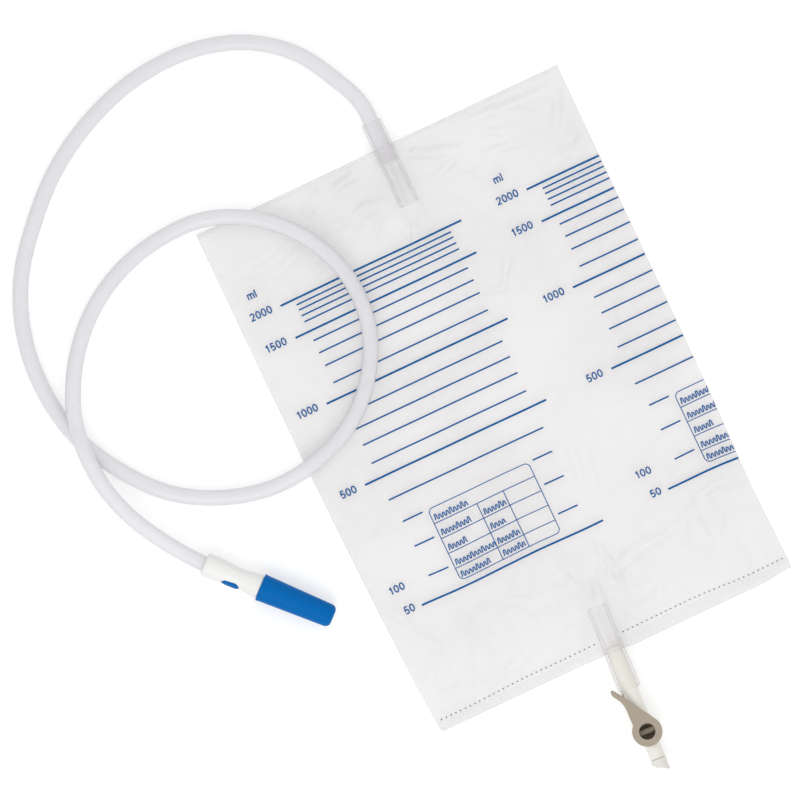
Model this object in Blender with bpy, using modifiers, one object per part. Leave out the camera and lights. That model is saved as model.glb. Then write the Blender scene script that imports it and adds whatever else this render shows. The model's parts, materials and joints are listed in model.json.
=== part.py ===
"""Urine drainage bag: a flat film bag with an inlet hose, a capped connector and a lever tap.

Metres, +Z up. The empty bag lies on the XY plane, its length along Y and its inlet at +Y.
"""
import bmesh
import bpy
from math import ceil, cos, pi, radians, sin, sqrt, tan
from mathutils import Matrix, Vector

# Clearances
FIT_GAP = 0.0003            # between two pieces that touch on the real object
WELD_GAP = 0.0003           # between the two films at their welded edge

# Film bag
BAG_WIDTH = 0.1995          # across the top corners
BAG_LENGTH = 0.2770
BAG_CENTRE_Y = 0.0256
BAG_PULL_LEFT = 0.0052      # how far the bottom left corner is drawn in
BAG_PULL_RIGHT = 0.0010
FILM_THICKNESS = 0.0003
PILLOW_HEIGHT = 0.0012      # how far the front film stands off the back film in the middle
TENT_REACH = 0.0150         # how far the film's slope runs out beside and below a port
FILM_ROW_STEP = 0.0260      # widest row of the film's facets
FILM_SIDE_COLUMNS = (0.0095, 0.0140)    # columns of facets beside the ports' line

# Blue volume scale on the front film
PRINT_LEFT = -0.07675
PRINT_LINE_PAST_PORT = 0.0199
PRINT_REPEAT = 0.1361       # the next print starts this far to the right
PRINT_LINE_WIDTH = 0.0009
PRINT_LINES_Y = (0.11415, 0.09645, 0.06000, 0.01510, -0.05175)

# Hose
HOSE_DIAMETER = 0.0078
HOSE_IN_PORT = 0.0220
HOSE_STEP = 0.0150          # distance between the hose's points

# Inlet port, a sleeve along Y
INLET_X = 0.00345
PORT_LENGTH = 0.0452
PORT_DIAMETER = 0.0105
INLET_PROUD = 0.0137        # how far the port stands out of the bag's top edge
PORT_EDGE = 0.0006          # rounding of a port's rims

# Non-return valve inside the inlet port
VALVE_FROM_HOSE = 0.0032
VALVE_WALL = 0.0005
VALVE_SLIT_HEIGHT = 0.0018
VALVE_ROWS = 4
VALVE_NARROWING = 0.06      # share by which the slit end is narrower than the hose end
VALVE_FROM_PORT_END = 0.0015

# Outlet port and tap, on one axis that leans a little from the bag's own
OUTLET_TOP_X = 0.0019
OUTLET_IN_BAG = 0.0241      # how far the port reaches in from the bottom edge
OUTLET_TILT = radians(3.3)
OUTLET_HEIGHT = 0.0072
OUTLET_PORT_LENGTH = 0.0446
SLEEVE_WALL = 0.0012        # wall of the outlet port where the spigot stretches it
SPIGOT_START = 0.0215       # from the port's top end to the spigot's tip
SPIGOT_TIP_RADIUS = 0.0037
SPIGOT_ROOT_RADIUS = 0.0043
STEM_RADIUS = 0.0039
STEM_TAPER = 0.0014         # length of the step from the spigot's root to the stem
FLOW_RADIUS = 0.0016
TAP_FROM_PORT = 0.0227      # from the port's end to the tap's centre
BARREL_RADIUS = 0.0067
BARREL_WALL = 0.0014
BARREL_TOP = 0.0120
SPOUT_LENGTH = 0.0145       # from the tap's centre to the spout's shoulder
SPOUT_SPIGOT_LENGTH = 0.0048
SPOUT_SPIGOT_RADIUS = 0.0024

# Drain tip
TIP_RADIUS = 0.00395
TIP_LENGTH = 0.0071
TIP_BEVEL = radians(30)

# Tap lever with its plug, and the keeper under the barrel
DISC_RADIUS = 0.0076
PLATE_THICKNESS = 0.0015
PLATE_ROUNDING = 0.0003
KEEPER_THICKNESS = 0.0013
PLUG_WALL = 0.0009
PLUG_FLOOR = 0.0018
CROSS_TUBE_RADIUS = 0.0016
CROSS_BORE_RADIUS = 0.0010
KEEPER_STUD_RADIUS = 0.0020
KEEPER_DISC_RADIUS = 0.0068

# Connector, cap and septum, on one axis in the XY plane
CONNECTOR_X = -0.16605
CONNECTOR_Y = 0.01390
CONNECTOR_HEADING = radians(-47.8)
CONNECTOR_HEIGHT = 0.00715
CONNECTOR_LENGTH = 0.0300
CONNECTOR_START_RADIUS = 0.0060
CONNECTOR_EDGE = 0.0008
WAIST_RADIUS = 0.0051
FLARE_RADIUS = 0.0062
SOCKET_DEPTH = 0.0098
CONNECTOR_BORE = 0.0020
NOZZLE_LENGTH = 0.0350
NOZZLE_ROOT_RADIUS = 0.0046
NOZZLE_TIP_RADIUS = 0.0032
NOZZLE_SEAT_LENGTH = 0.0040
NOZZLE_RIDGES = 3
NOZZLE_RIDGE_HEIGHT = 0.0004
NOZZLE_RIDGE_SLOPE = 0.0004 # length of each ridge's steep side
CAP_LENGTH = 0.0393
CAP_MOUTH_RADIUS = 0.0069
CAP_END_RADIUS = 0.00585
CAP_WALL = 0.0011
CAP_CORNER = 0.0027
CAP_LIP = 0.00020
CAP_LIP_LENGTH = 0.0011
SEPTUM_LENGTH = 0.0090
SEPTUM_WIDTH = 0.0044
SEPTUM_DEPTH = 0.0018
SEPTUM_FROM_START = 0.0158
SEPTUM_PROUD = 0.0004
SEPTUM_ROUNDING = 0.0005
SEPTUM_TURN = radians(22)   # how far it faces up from the horizontal
SAMPLE_HOLE_RADIUS = 0.0008

# Facets and cutters
ROUND_STEPS = 36
SMALL_STEPS = 20
TINY_STEPS = 14
CUT_PAST = 0.001            # how far a cutter runs past the face it opens

# Sizes that follow from the ones above
HOSE_RADIUS = HOSE_DIAMETER / 2
PORT_RADIUS = PORT_DIAMETER / 2
PORT_BORE = HOSE_RADIUS + FIT_GAP
BAG_TOP = BAG_CENTRE_Y + BAG_LENGTH / 2
BAG_BOTTOM = BAG_CENTRE_Y - BAG_LENGTH / 2
INLET_HEIGHT = FILM_THICKNESS + FIT_GAP + PORT_RADIUS
INLET_OUTER_Y = BAG_TOP + INLET_PROUD
INLET_INNER_Y = INLET_OUTER_Y - PORT_LENGTH
VALVE_LENGTH = PORT_LENGTH - HOSE_IN_PORT - VALVE_FROM_HOSE - VALVE_FROM_PORT_END
OUTLET_TOP_Y = BAG_BOTTOM + OUTLET_IN_BAG
SLEEVE_END_RADIUS = SPIGOT_ROOT_RADIUS + FIT_GAP + SLEEVE_WALL
TAP_CENTRE = OUTLET_PORT_LENGTH + TAP_FROM_PORT
SPOUT_END = TAP_CENTRE + SPOUT_LENGTH
OUTLET_AXIS = Vector((-sin(OUTLET_TILT), -cos(OUTLET_TILT), 0))
OUTLET_START = Vector((OUTLET_TOP_X, OUTLET_TOP_Y, OUTLET_HEIGHT))
OUTLET_HEADING = -pi / 2 - OUTLET_TILT
TAP_POINT = OUTLET_START + OUTLET_AXIS * TAP_CENTRE
CONNECTOR_AXIS = Vector((cos(CONNECTOR_HEADING), sin(CONNECTOR_HEADING), 0))
CONNECTOR_START = Vector((CONNECTOR_X, CONNECTOR_Y, CONNECTOR_HEIGHT))
FLOOR_Z = HOSE_RADIUS + 0.00005
OVER_FILM_Z = 2 * FILM_THICKNESS + WELD_GAP + PILLOW_HEIGHT + FIT_GAP + HOSE_RADIUS
CROSSING_Z = FLOOR_Z + HOSE_DIAMETER + FIT_GAP

# The hose's route, from the inlet port's mouth round the loop and over itself
HOSE_ROUTE = (
    (0.00330, 0.1860, 0.00580), (0.00185, 0.1925, 0.00540), (-0.0035, 0.2045, 0.00470),
    (-0.0143, 0.2231, 0.00410), (-0.0365, 0.2408, FLOOR_Z), (-0.0625, 0.2485, FLOOR_Z),
    (-0.0940, 0.2477, FLOOR_Z), (-0.1232, 0.2386, FLOOR_Z), (-0.1490, 0.2237, FLOOR_Z),
    (-0.1700, 0.2045, FLOOR_Z), (-0.1885, 0.1810, FLOOR_Z), (-0.1993, 0.1535, FLOOR_Z),
    (-0.2018, 0.1265, FLOOR_Z), (-0.1961, 0.0961, FLOOR_Z), (-0.1843, 0.0740, FLOOR_Z),
    (-0.1655, 0.0524, FLOOR_Z), (-0.1450, 0.0404, FLOOR_Z), (-0.1150, 0.0336, 0.00460),
    (-0.0960, 0.0357, 0.00590), (-0.0703, 0.0461, OVER_FILM_Z), (-0.0526, 0.0630, OVER_FILM_Z),
    (-0.0415, 0.0850, OVER_FILM_Z), (-0.0402, 0.1139, OVER_FILM_Z), (-0.0526, 0.1422, OVER_FILM_Z),
    (-0.0690, 0.1585, 0.00610), (-0.0930, 0.1695, 0.00520), (-0.1170, 0.1702, 0.00410),
    (-0.1418, 0.1641, FLOOR_Z), (-0.1600, 0.1540, 0.00450), (-0.1747, 0.1405, 0.00660),
    (-0.1859, 0.1245, 0.01030), (-0.1937, 0.1061, CROSSING_Z), (-0.1960, 0.0890, CROSSING_Z),
    (-0.1953, 0.0720, 0.01100), (-0.1898, 0.0520, 0.00890), (-0.1800, 0.0333, 0.00765),
)


def new_collection(name):
    collection = bpy.data.collections.new(name)
    bpy.context.scene.collection.children.link(collection)
    return collection


def clear_scene():
    for item in list(bpy.data.objects):
        bpy.data.objects.remove(item, do_unlink=True)


def material(name, colour, roughness, alpha=1.0):
    made = bpy.data.materials.new(name)
    made.use_nodes = True
    shader = made.node_tree.nodes["Principled BSDF"]
    shader.inputs["Base Color"].default_value = (*colour, 1)
    shader.inputs["Roughness"].default_value = roughness
    shader.inputs["Metallic"].default_value = 0.0
    shader.inputs["Alpha"].default_value = alpha
    return made


def add_object(name, data, place=None, finish=None, cutter=False):
    """Link a new object; place is its world matrix."""
    item = bpy.data.objects.new(name, data)
    (CUTTERS if cutter else PARTS).objects.link(item)
    if place is not None:
        item.matrix_world = place
    if cutter:
        item.hide_render = True
        item.display_type = "WIRE"
    if finish is not None:
        data.materials.append(finish)
    return item


def mesh_from(bm, name):
    mesh = bpy.data.meshes.new(name)
    bm.to_mesh(mesh)
    bm.free()
    return mesh


def along(point, heading):
    """A place whose local +Z runs along the heading in the XY plane."""
    return Matrix.Translation(point) @ Matrix.Rotation(heading, 4, "Z") @ Matrix.Rotation(pi / 2, 4, "Y")


def set_boolean(item, other, operation):
    cut = item.modifiers.new(operation.lower(), "BOOLEAN")
    cut.object = other
    cut.operation = operation
    cut.solver = "EXACT"
    cut.show_render = cut.show_viewport


def shade_round(item, angle=radians(35)):
    item.data.shade_smooth()
    item.data.set_sharp_from_angle(angle=angle)


def turned_mesh(name, outer, inner=None):
    """Profile edges for a Screw: outer and inner are (distance along axis, radius) from start to end.

    Without an inner side the outline runs from axis to axis and the piece is solid.
    """
    profile = [(r, z) for z, r in reversed(outer)]
    if inner:
        profile += [(r, z) for z, r in inner]
    bm = bmesh.new()
    verts = [bm.verts.new((r, 0, z)) for r, z in profile]
    for first, second in zip(verts, verts[1:]):
        bm.edges.new((first, second))
    if min(r for r, z in profile) > 0:
        bm.edges.new((verts[-1], verts[0]))
    return mesh_from(bm, name)


def turned(name, outer, inner, place, finish, steps=ROUND_STEPS, cutter=False):
    item = add_object(name, turned_mesh(name, outer, inner), place, finish, cutter)
    screw = item.modifiers.new("turn", "SCREW")
    screw.axis = "Z"
    screw.angle = 2 * pi
    screw.steps = steps
    screw.render_steps = steps
    screw.use_merge_vertices = True
    screw.merge_threshold = 0.00001
    screw.use_smooth_shade = False
    return item


def cylinder(name, radius, low, high, place, steps=ROUND_STEPS, cutter=True):
    """A plain cylinder along the place's local Z."""
    bm = bmesh.new()
    bmesh.ops.create_cone(bm, cap_ends=True, segments=steps, radius1=radius, radius2=radius,
                          depth=high - low, matrix=Matrix.Translation((0, 0, (low + high) / 2)))
    return add_object(name, mesh_from(bm, name), place, cutter=cutter)


def box(name, size, place):
    bm = bmesh.new()
    bmesh.ops.create_cube(bm, size=1, matrix=Matrix.Diagonal((*size, 1)))
    return add_object(name, mesh_from(bm, name), place, cutter=True)


def curve_to_mesh(item, name, finish):
    """Replace a curve object by its mesh, with the caps welded on."""
    graph = bpy.context.evaluated_depsgraph_get()
    mesh = bpy.data.meshes.new_from_object(item.evaluated_get(graph))
    bm = bmesh.new()
    bm.from_mesh(mesh)
    bmesh.ops.remove_doubles(bm, verts=bm.verts, dist=0.000001)
    bm.to_mesh(mesh)
    bm.free()
    place = item.matrix_world.copy()
    bpy.data.objects.remove(item, do_unlink=True)
    mesh.materials.clear()
    return add_object(name, mesh, place, finish)


def flat_plate(name, outline, low, thickness, centre, finish):
    """A flat plate with soft edges, of the given XY outline round its centre, standing on the height low."""
    curve = bpy.data.curves.new(name + "_outline", "CURVE")
    curve.dimensions = "2D"
    curve.fill_mode = "BOTH"
    curve.extrude = thickness / 2 - PLATE_ROUNDING
    curve.bevel_depth = PLATE_ROUNDING
    curve.bevel_resolution = 0
    curve.offset = -PLATE_ROUNDING
    spline = curve.splines.new("POLY")
    spline.points.add(len(outline) - 1)
    for point, (x, y) in zip(spline.points, outline):
        point.co = (x, y, 0, 1)
    spline.use_cyclic_u = True
    place = Matrix.Translation((centre.x, centre.y, low + thickness / 2))
    drawn = add_object(name + "_outline", curve, place)
    bpy.context.view_layer.update()
    return curve_to_mesh(drawn, name, finish)


def arc(radius, start, end, steps):
    return [(radius * cos(radians(start + (end - start) * i / steps)),
             radius * sin(radians(start + (end - start) * i / steps))) for i in range(steps + 1)]


def ease(value):
    """Smooth step from 0 to 1."""
    value = min(max(value, 0.0), 1.0)
    return value * value * (3 - 2 * value)


# Films: the columns keep to the ports' centre line, so the cover over each port is cut finely

def outlet_x(y):
    return OUTLET_TOP_X + (y - OUTLET_TOP_Y) * tan(OUTLET_TILT)


def port_line(y):
    """X of the line from the inlet port to the outlet port."""
    if y >= INLET_INNER_Y:
        return INLET_X
    if y <= OUTLET_TOP_Y:
        return outlet_x(y)
    share = (y - OUTLET_TOP_Y) / (INLET_INNER_Y - OUTLET_TOP_Y)
    return OUTLET_TOP_X + (INLET_X - OUTLET_TOP_X) * share


def cover_radius(y):
    """Inside radius of the film over a port, with room for the film's facets."""
    room = FILM_THICKNESS + FIT_GAP - 0.00005
    share = ease((y - OUTLET_TOP_Y) / (INLET_INNER_Y - OUTLET_TOP_Y))
    outlet = SLEEVE_END_RADIUS + room
    return outlet + (PORT_RADIUS + room - outlet) * share


def port_height(y):
    return INLET_HEIGHT if y > BAG_CENTRE_Y else OUTLET_HEIGHT


def port_presence(y):
    """1 where a port lies between the films, falling to 0 past its inner end."""
    inlet = 1 - ease((INLET_INNER_Y - FIT_GAP - y) / TENT_REACH)
    outlet = 1 - ease((y - OUTLET_TOP_Y - FIT_GAP) / TENT_REACH)
    return max(inlet, outlet)


def weld_presence(y):
    """1 at the welded end edges, falling to 0 inside the bag."""
    edge = min(BAG_TOP - y, y - BAG_BOTTOM)
    return 1 - ease(edge / TENT_REACH)


def pillow(x, y):
    across = min(abs(2 * x / BAG_WIDTH), 1)
    down = min(abs(2 * (y - BAG_CENTRE_Y) / BAG_LENGTH), 1)
    return PILLOW_HEIGHT * (1 - across ** 4) * (1 - down ** 6)


def front_height(x, y):
    """Underside of the front film."""
    side = abs(x - port_line(y))
    radius = cover_radius(y)
    low = FILM_THICKNESS + WELD_GAP + pillow(x, y)
    wing = port_height(y) + WELD_GAP / 2
    over = low + (wing - low) * (1 - ease((side - radius) / TENT_REACH))
    if side < radius:
        over = max(over, port_height(y) + sqrt(radius ** 2 - side ** 2))
    return low + (over - low) * port_presence(y)


def back_height(x, y):
    """Underside of the back film."""
    side = abs(x - port_line(y))
    radius = cover_radius(y)
    wing = port_height(y) - WELD_GAP / 2 - FILM_THICKNESS
    under = wing * (1 - ease((side - radius) / TENT_REACH))
    if side < radius:
        under = max(0.0, port_height(y) - FILM_THICKNESS - sqrt(radius ** 2 - side ** 2))
    return under * weld_presence(y)


def film_columns(y):
    """X of each column of the film's grid at one height of the bag."""
    share = (BAG_TOP - y) / BAG_LENGTH
    left = -BAG_WIDTH / 2 + BAG_PULL_LEFT * share
    right = BAG_WIDTH / 2 - BAG_PULL_RIGHT * share
    line = port_line(y)
    radius = cover_radius(y)
    steps = [0.42 * radius, 0.76 * radius, radius, 1.12 * radius, *FILM_SIDE_COLUMNS, PRINT_LINE_PAST_PORT]
    fine = [line - s for s in reversed(steps)] + [line] + [line + s for s in steps]
    second = PRINT_LEFT + PRINT_REPEAT
    before = [left, (left + PRINT_LEFT) / 2, PRINT_LEFT]
    before += [PRINT_LEFT + (fine[0] - PRINT_LEFT) * i / 3 for i in (1, 2)]
    after = [(fine[-1] + second) / 2, second, (second + right) / 2, right]
    return before + fine + after


def film_rows(with_print):
    """Y of each row of the film's grid, from the top edge down."""
    rows = [BAG_TOP - TENT_REACH * share for share in (0, 0.25, 0.5, 0.75, 1)]
    rows += [INLET_INNER_Y - FIT_GAP - TENT_REACH * share for share in (0, 0.25, 0.5, 0.75, 1)]
    rows += [OUTLET_TOP_Y + FIT_GAP + TENT_REACH * share for share in (1, 0.75, 0.5, 0.25, 0)]
    rows += [BAG_BOTTOM + TENT_REACH * share for share in (1, 0.75, 0.5, 0.25, 0)]
    if with_print:
        for y in PRINT_LINES_Y:
            rows += [y + PRINT_LINE_WIDTH / 2, y - PRINT_LINE_WIDTH / 2]
    rows = sorted(rows, reverse=True)
    filled = [rows[0]]
    for y in rows[1:]:
        while filled[-1] - y > FILM_ROW_STEP:
            filled.append(filled[-1] - (filled[-1] - y) / ceil((filled[-1] - y) / FILM_ROW_STEP))
        if filled[-1] - y > FIT_GAP:
            filled.append(y)
    filled[-1] = BAG_BOTTOM
    return filled


def in_print(x, y):
    """True on the thick lines of either print."""
    if min(abs(y - line) for line in PRINT_LINES_Y) > PRINT_LINE_WIDTH / 2:
        return False
    return PRINT_LEFT < x < port_line(y) + PRINT_LINE_PAST_PORT or x > PRINT_LEFT + PRINT_REPEAT


def make_film(name, height, finish, ink=None):
    rows = film_rows(ink is not None)
    columns = film_columns(rows[0])
    bm = bmesh.new()
    bmesh.ops.create_grid(bm, x_segments=len(columns) - 1, y_segments=len(rows) - 1, size=1)
    for vert in bm.verts:
        column = round((vert.co.x + 1) / 2 * (len(columns) - 1))
        row = round((1 - vert.co.y) / 2 * (len(rows) - 1))
        y = rows[row]
        x = film_columns(y)[column]
        vert.co = (x, y, height(x, y))
    item = add_object(name, mesh_from(bm, name), finish=finish)
    if ink is not None:
        item.data.materials.append(ink)
        for face in item.data.polygons:
            face.material_index = int(in_print(face.center.x, face.center.y))
    wall = item.modifiers.new("film wall", "SOLIDIFY")
    wall.thickness = FILM_THICKNESS
    wall.offset = 1
    item.data.shade_smooth()
    return item


# Ports and valve

def make_inlet_port(finish):
    outer = [(0, PORT_RADIUS - PORT_EDGE), (PORT_EDGE, PORT_RADIUS),
             (PORT_LENGTH - PORT_EDGE, PORT_RADIUS), (PORT_LENGTH, PORT_RADIUS - PORT_EDGE)]
    inner = [(0, PORT_BORE), (PORT_LENGTH, PORT_BORE)]
    place = along((INLET_X, INLET_OUTER_Y, INLET_HEIGHT), -pi / 2)
    turned("inlet_port", outer, inner, place, finish)


def make_valve(finish):
    """A soft sleeve, round at the hose's end and pressed to a slit at the bag's end."""
    radius = PORT_BORE - FIT_GAP
    hollow = radius - VALVE_WALL
    rows = [VALVE_LENGTH * i / VALVE_ROWS for i in range(VALVE_ROWS + 1)]
    place = along((INLET_X, INLET_INNER_Y + VALVE_FROM_PORT_END, INLET_HEIGHT), pi / 2)
    mesh = turned_mesh("non_return_valve", [(z, radius) for z in rows], [(z, hollow) for z in rows])
    bm = bmesh.new()
    bm.from_mesh(mesh)
    bmesh.ops.spin(bm, geom=bm.verts[:] + bm.edges[:], cent=(0, 0, 0), axis=(0, 0, 1), angle=2 * pi,
                   steps=SMALL_STEPS, use_merge=True)
    for vert in bm.verts:
        inner = vert.co.xy.length < (radius + hollow) / 2
        round_half = hollow if inner else radius
        slit_half = VALVE_SLIT_HEIGHT / 2 - (VALVE_WALL if inner else 0)
        flat = 1 - ease(vert.co.z / VALVE_LENGTH)
        vert.co.x *= 1 - (1 - slit_half / round_half) * flat
        vert.co.y *= 1 - VALVE_NARROWING * flat
    bmesh.ops.recalc_face_normals(bm, faces=bm.faces)
    bm.to_mesh(mesh)
    bm.free()
    item = add_object("non_return_valve", mesh, place, finish)
    item.data.shade_smooth()


def make_outlet_port(finish):
    bore_tip = SPIGOT_TIP_RADIUS + FIT_GAP
    bore_end = SPIGOT_ROOT_RADIUS + FIT_GAP
    end = OUTLET_PORT_LENGTH
    outer = [(0, PORT_RADIUS - PORT_EDGE), (PORT_EDGE, PORT_RADIUS), (SPIGOT_START, PORT_RADIUS),
             (SPIGOT_START + (end - SPIGOT_START) * 0.5, (PORT_RADIUS + SLEEVE_END_RADIUS) / 2 + 0.0001),
             (end - PORT_EDGE, SLEEVE_END_RADIUS), (end, SLEEVE_END_RADIUS - PORT_EDGE)]
    inner = [(0, bore_tip), (SPIGOT_START, bore_tip), (end, bore_end)]
    turned("outlet_port", outer, inner, along(OUTLET_START, OUTLET_HEADING), finish)


# Tap

def make_tap_body(finish):
    place = along(OUTLET_START, OUTLET_HEADING)
    shoulder = SPOUT_END + SPOUT_SPIGOT_LENGTH
    outer = [(SPIGOT_START, 0), (SPIGOT_START, SPIGOT_TIP_RADIUS - PORT_EDGE),
             (SPIGOT_START + PORT_EDGE, SPIGOT_TIP_RADIUS),
             (OUTLET_PORT_LENGTH, SPIGOT_ROOT_RADIUS), (OUTLET_PORT_LENGTH + STEM_TAPER, STEM_RADIUS),
             (SPOUT_END, STEM_RADIUS), (SPOUT_END, SPOUT_SPIGOT_RADIUS), (shoulder, SPOUT_SPIGOT_RADIUS),
             (shoulder, 0)]
    item = turned("tap_body", outer, None, place, finish)
    upright = Matrix.Translation((TAP_POINT.x, TAP_POINT.y, 0))
    low = KEEPER_THICKNESS + FIT_GAP
    set_boolean(item, cylinder("barrel", BARREL_RADIUS, low, BARREL_TOP, upright), "UNION")
    bore = cylinder("barrel_bore", BARREL_RADIUS - BARREL_WALL, -CUT_PAST, BARREL_TOP + CUT_PAST, upright)
    set_boolean(item, bore, "DIFFERENCE")
    flow = cylinder("flow_bore", FLOW_RADIUS, SPIGOT_START - CUT_PAST, shoulder + CUT_PAST, place, TINY_STEPS)
    set_boolean(item, flow, "DIFFERENCE")


def lever_outline():
    """The disc and the arm with its curled thumb tip, round the disc's centre."""
    arm = [(0.0048, 0.0071), (0.0022, 0.0110), (-0.0004, 0.0149), (-0.0016, 0.0178), (-0.0029, 0.0202),
           (-0.0046, 0.0226), (-0.0064, 0.0252), (-0.0072, 0.0261), (-0.0081, 0.0258), (-0.0084, 0.0246),
           (-0.0082, 0.0230), (-0.0071, 0.0212), (-0.0058, 0.0190), (-0.0051, 0.0165), (-0.0049, 0.0140),
           (-0.0051, 0.0090)]
    return arm + arc(DISC_RADIUS, 133, 400, 26)


def keeper_outline():
    """The rear disc and its straight finger tip."""
    arm = [(0.0040, 0.0072), (0.0003, 0.0150), (-0.0009, 0.0200), (-0.0016, 0.0236), (-0.0023, 0.0243),
           (-0.0031, 0.0238), (-0.0037, 0.0200), (-0.0042, 0.0150), (-0.0047, 0.0090)]
    return arm + arc(KEEPER_DISC_RADIUS, 132, 398, 22)


def make_tap_lever(finish):
    """Lever plate, hollow plug and the flow tube across the plug, moulded in one."""
    low = BARREL_TOP + FIT_GAP
    top = low + PLATE_THICKNESS
    item = flat_plate("tap_lever", lever_outline(), low, PLATE_THICKNESS, TAP_POINT, finish)
    upright = Matrix.Translation((TAP_POINT.x, TAP_POINT.y, 0))
    plug_radius = BARREL_RADIUS - BARREL_WALL - FIT_GAP
    bottom = KEEPER_THICKNESS + FIT_GAP
    hollow = plug_radius - PLUG_WALL
    plug = cylinder("plug", plug_radius, bottom, low + PLATE_THICKNESS / 2, upright)
    set_boolean(item, plug, "UNION")
    inside = cylinder("plug_inside", hollow, bottom + PLUG_FLOOR, top + CUT_PAST, upright)
    set_boolean(item, inside, "DIFFERENCE")
    across = along((TAP_POINT.x, TAP_POINT.y, OUTLET_HEIGHT), OUTLET_HEADING + pi / 2)
    reach = hollow + PLUG_WALL / 2
    tube = cylinder("cross_tube", CROSS_TUBE_RADIUS, -reach, reach, across, TINY_STEPS)
    set_boolean(item, tube, "UNION")
    through = plug_radius + CUT_PAST
    bore = cylinder("cross_bore", CROSS_BORE_RADIUS, -through, through, across, TINY_STEPS)
    set_boolean(item, bore, "DIFFERENCE")
    hole_top = bottom + PLUG_FLOOR + CUT_PAST
    stud_hole = cylinder("stud_hole", KEEPER_STUD_RADIUS + FIT_GAP, 0, hole_top, upright, TINY_STEPS)
    set_boolean(item, stud_hole, "DIFFERENCE")


def make_tap_keeper(finish):
    item = flat_plate("tap_keeper", keeper_outline(), 0, KEEPER_THICKNESS, TAP_POINT, finish)
    upright = Matrix.Translation((TAP_POINT.x, TAP_POINT.y, 0))
    stud_top = KEEPER_THICKNESS + FIT_GAP + PLUG_FLOOR
    stud = cylinder("keeper_stud", KEEPER_STUD_RADIUS, KEEPER_THICKNESS / 2, stud_top, upright, TINY_STEPS)
    set_boolean(item, stud, "UNION")


def make_drain_tip(finish):
    start = SPOUT_END + FIT_GAP
    bore = SPOUT_SPIGOT_RADIUS + FIT_GAP
    longest = start + TIP_LENGTH
    outer = [(start, TIP_RADIUS), (longest, TIP_RADIUS)]
    inner = [(start, bore), (longest, bore)]
    item = turned("drain_tip", outer, inner, along(OUTLET_START, OUTLET_HEADING), finish)
    corner = OUTLET_START + OUTLET_AXIS * longest
    corner += Vector((cos(OUTLET_TILT), -sin(OUTLET_TILT), 0)) * TIP_RADIUS
    side = 4 * TIP_LENGTH
    turn = Matrix.Rotation(-OUTLET_TILT - TIP_BEVEL, 4, "Z")
    place = Matrix.Translation(corner) @ turn @ Matrix.Translation((0, -side / 2, 0))
    set_boolean(item, box("bevel_cut", (side, side, side), place), "DIFFERENCE")


# Hose

def hose_points():
    """Even points on a smooth curve through the route, straight inside the port and the socket."""
    inside = Vector((INLET_X, INLET_OUTER_Y - HOSE_IN_PORT, INLET_HEIGHT))
    mouth = Vector((INLET_X, INLET_OUTER_Y, INLET_HEIGHT))
    end = CONNECTOR_START + CONNECTOR_AXIS * (SOCKET_DEPTH - FIT_GAP)
    route = [inside, mouth] + [Vector(p) for p in HOSE_ROUTE] + [CONNECTOR_START.copy(), end]
    knots = [route[0] * 2 - route[1]] + route + [route[-1] * 2 - route[-2]]
    fine = []
    for a, b, c, d in zip(knots, knots[1:], knots[2:], knots[3:]):
        before, span, after = (b - a).length, (c - b).length, (d - c).length
        leave = ((c - b) / span * before + (b - a) / before * span) / (before + span) * span
        reach = ((d - c) / after * span + (c - b) / span * after) / (span + after) * span
        for i in range(24):
            t = i / 24
            fine.append(b * (2 * t ** 3 - 3 * t ** 2 + 1) + leave * (t ** 3 - 2 * t ** 2 + t)
                        + c * (3 * t ** 2 - 2 * t ** 3) + reach * (t ** 3 - t ** 2))
    fine.append(route[-1])
    length = sum((b - a).length for a, b in zip(fine, fine[1:]))
    count = ceil(length / HOSE_STEP)
    points = [fine[0]]
    passed = 0.0
    for a, b in zip(fine, fine[1:]):
        passed += (b - a).length
        if passed >= len(points) * length / count and len(points) < count:
            points.append(b)
    return points + [fine[-1]]


def make_hose(finish):
    curve = bpy.data.curves.new("drainage_tube", "CURVE")
    curve.dimensions = "3D"
    curve.bevel_depth = HOSE_RADIUS
    curve.bevel_resolution = 2
    curve.use_fill_caps = True
    points = hose_points()
    spline = curve.splines.new("POLY")
    spline.points.add(len(points) - 1)
    for knot, place in zip(spline.points, points):
        knot.co = (*place, 1)
    add_object("drainage_tube", curve, finish=finish)


# Connector

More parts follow.
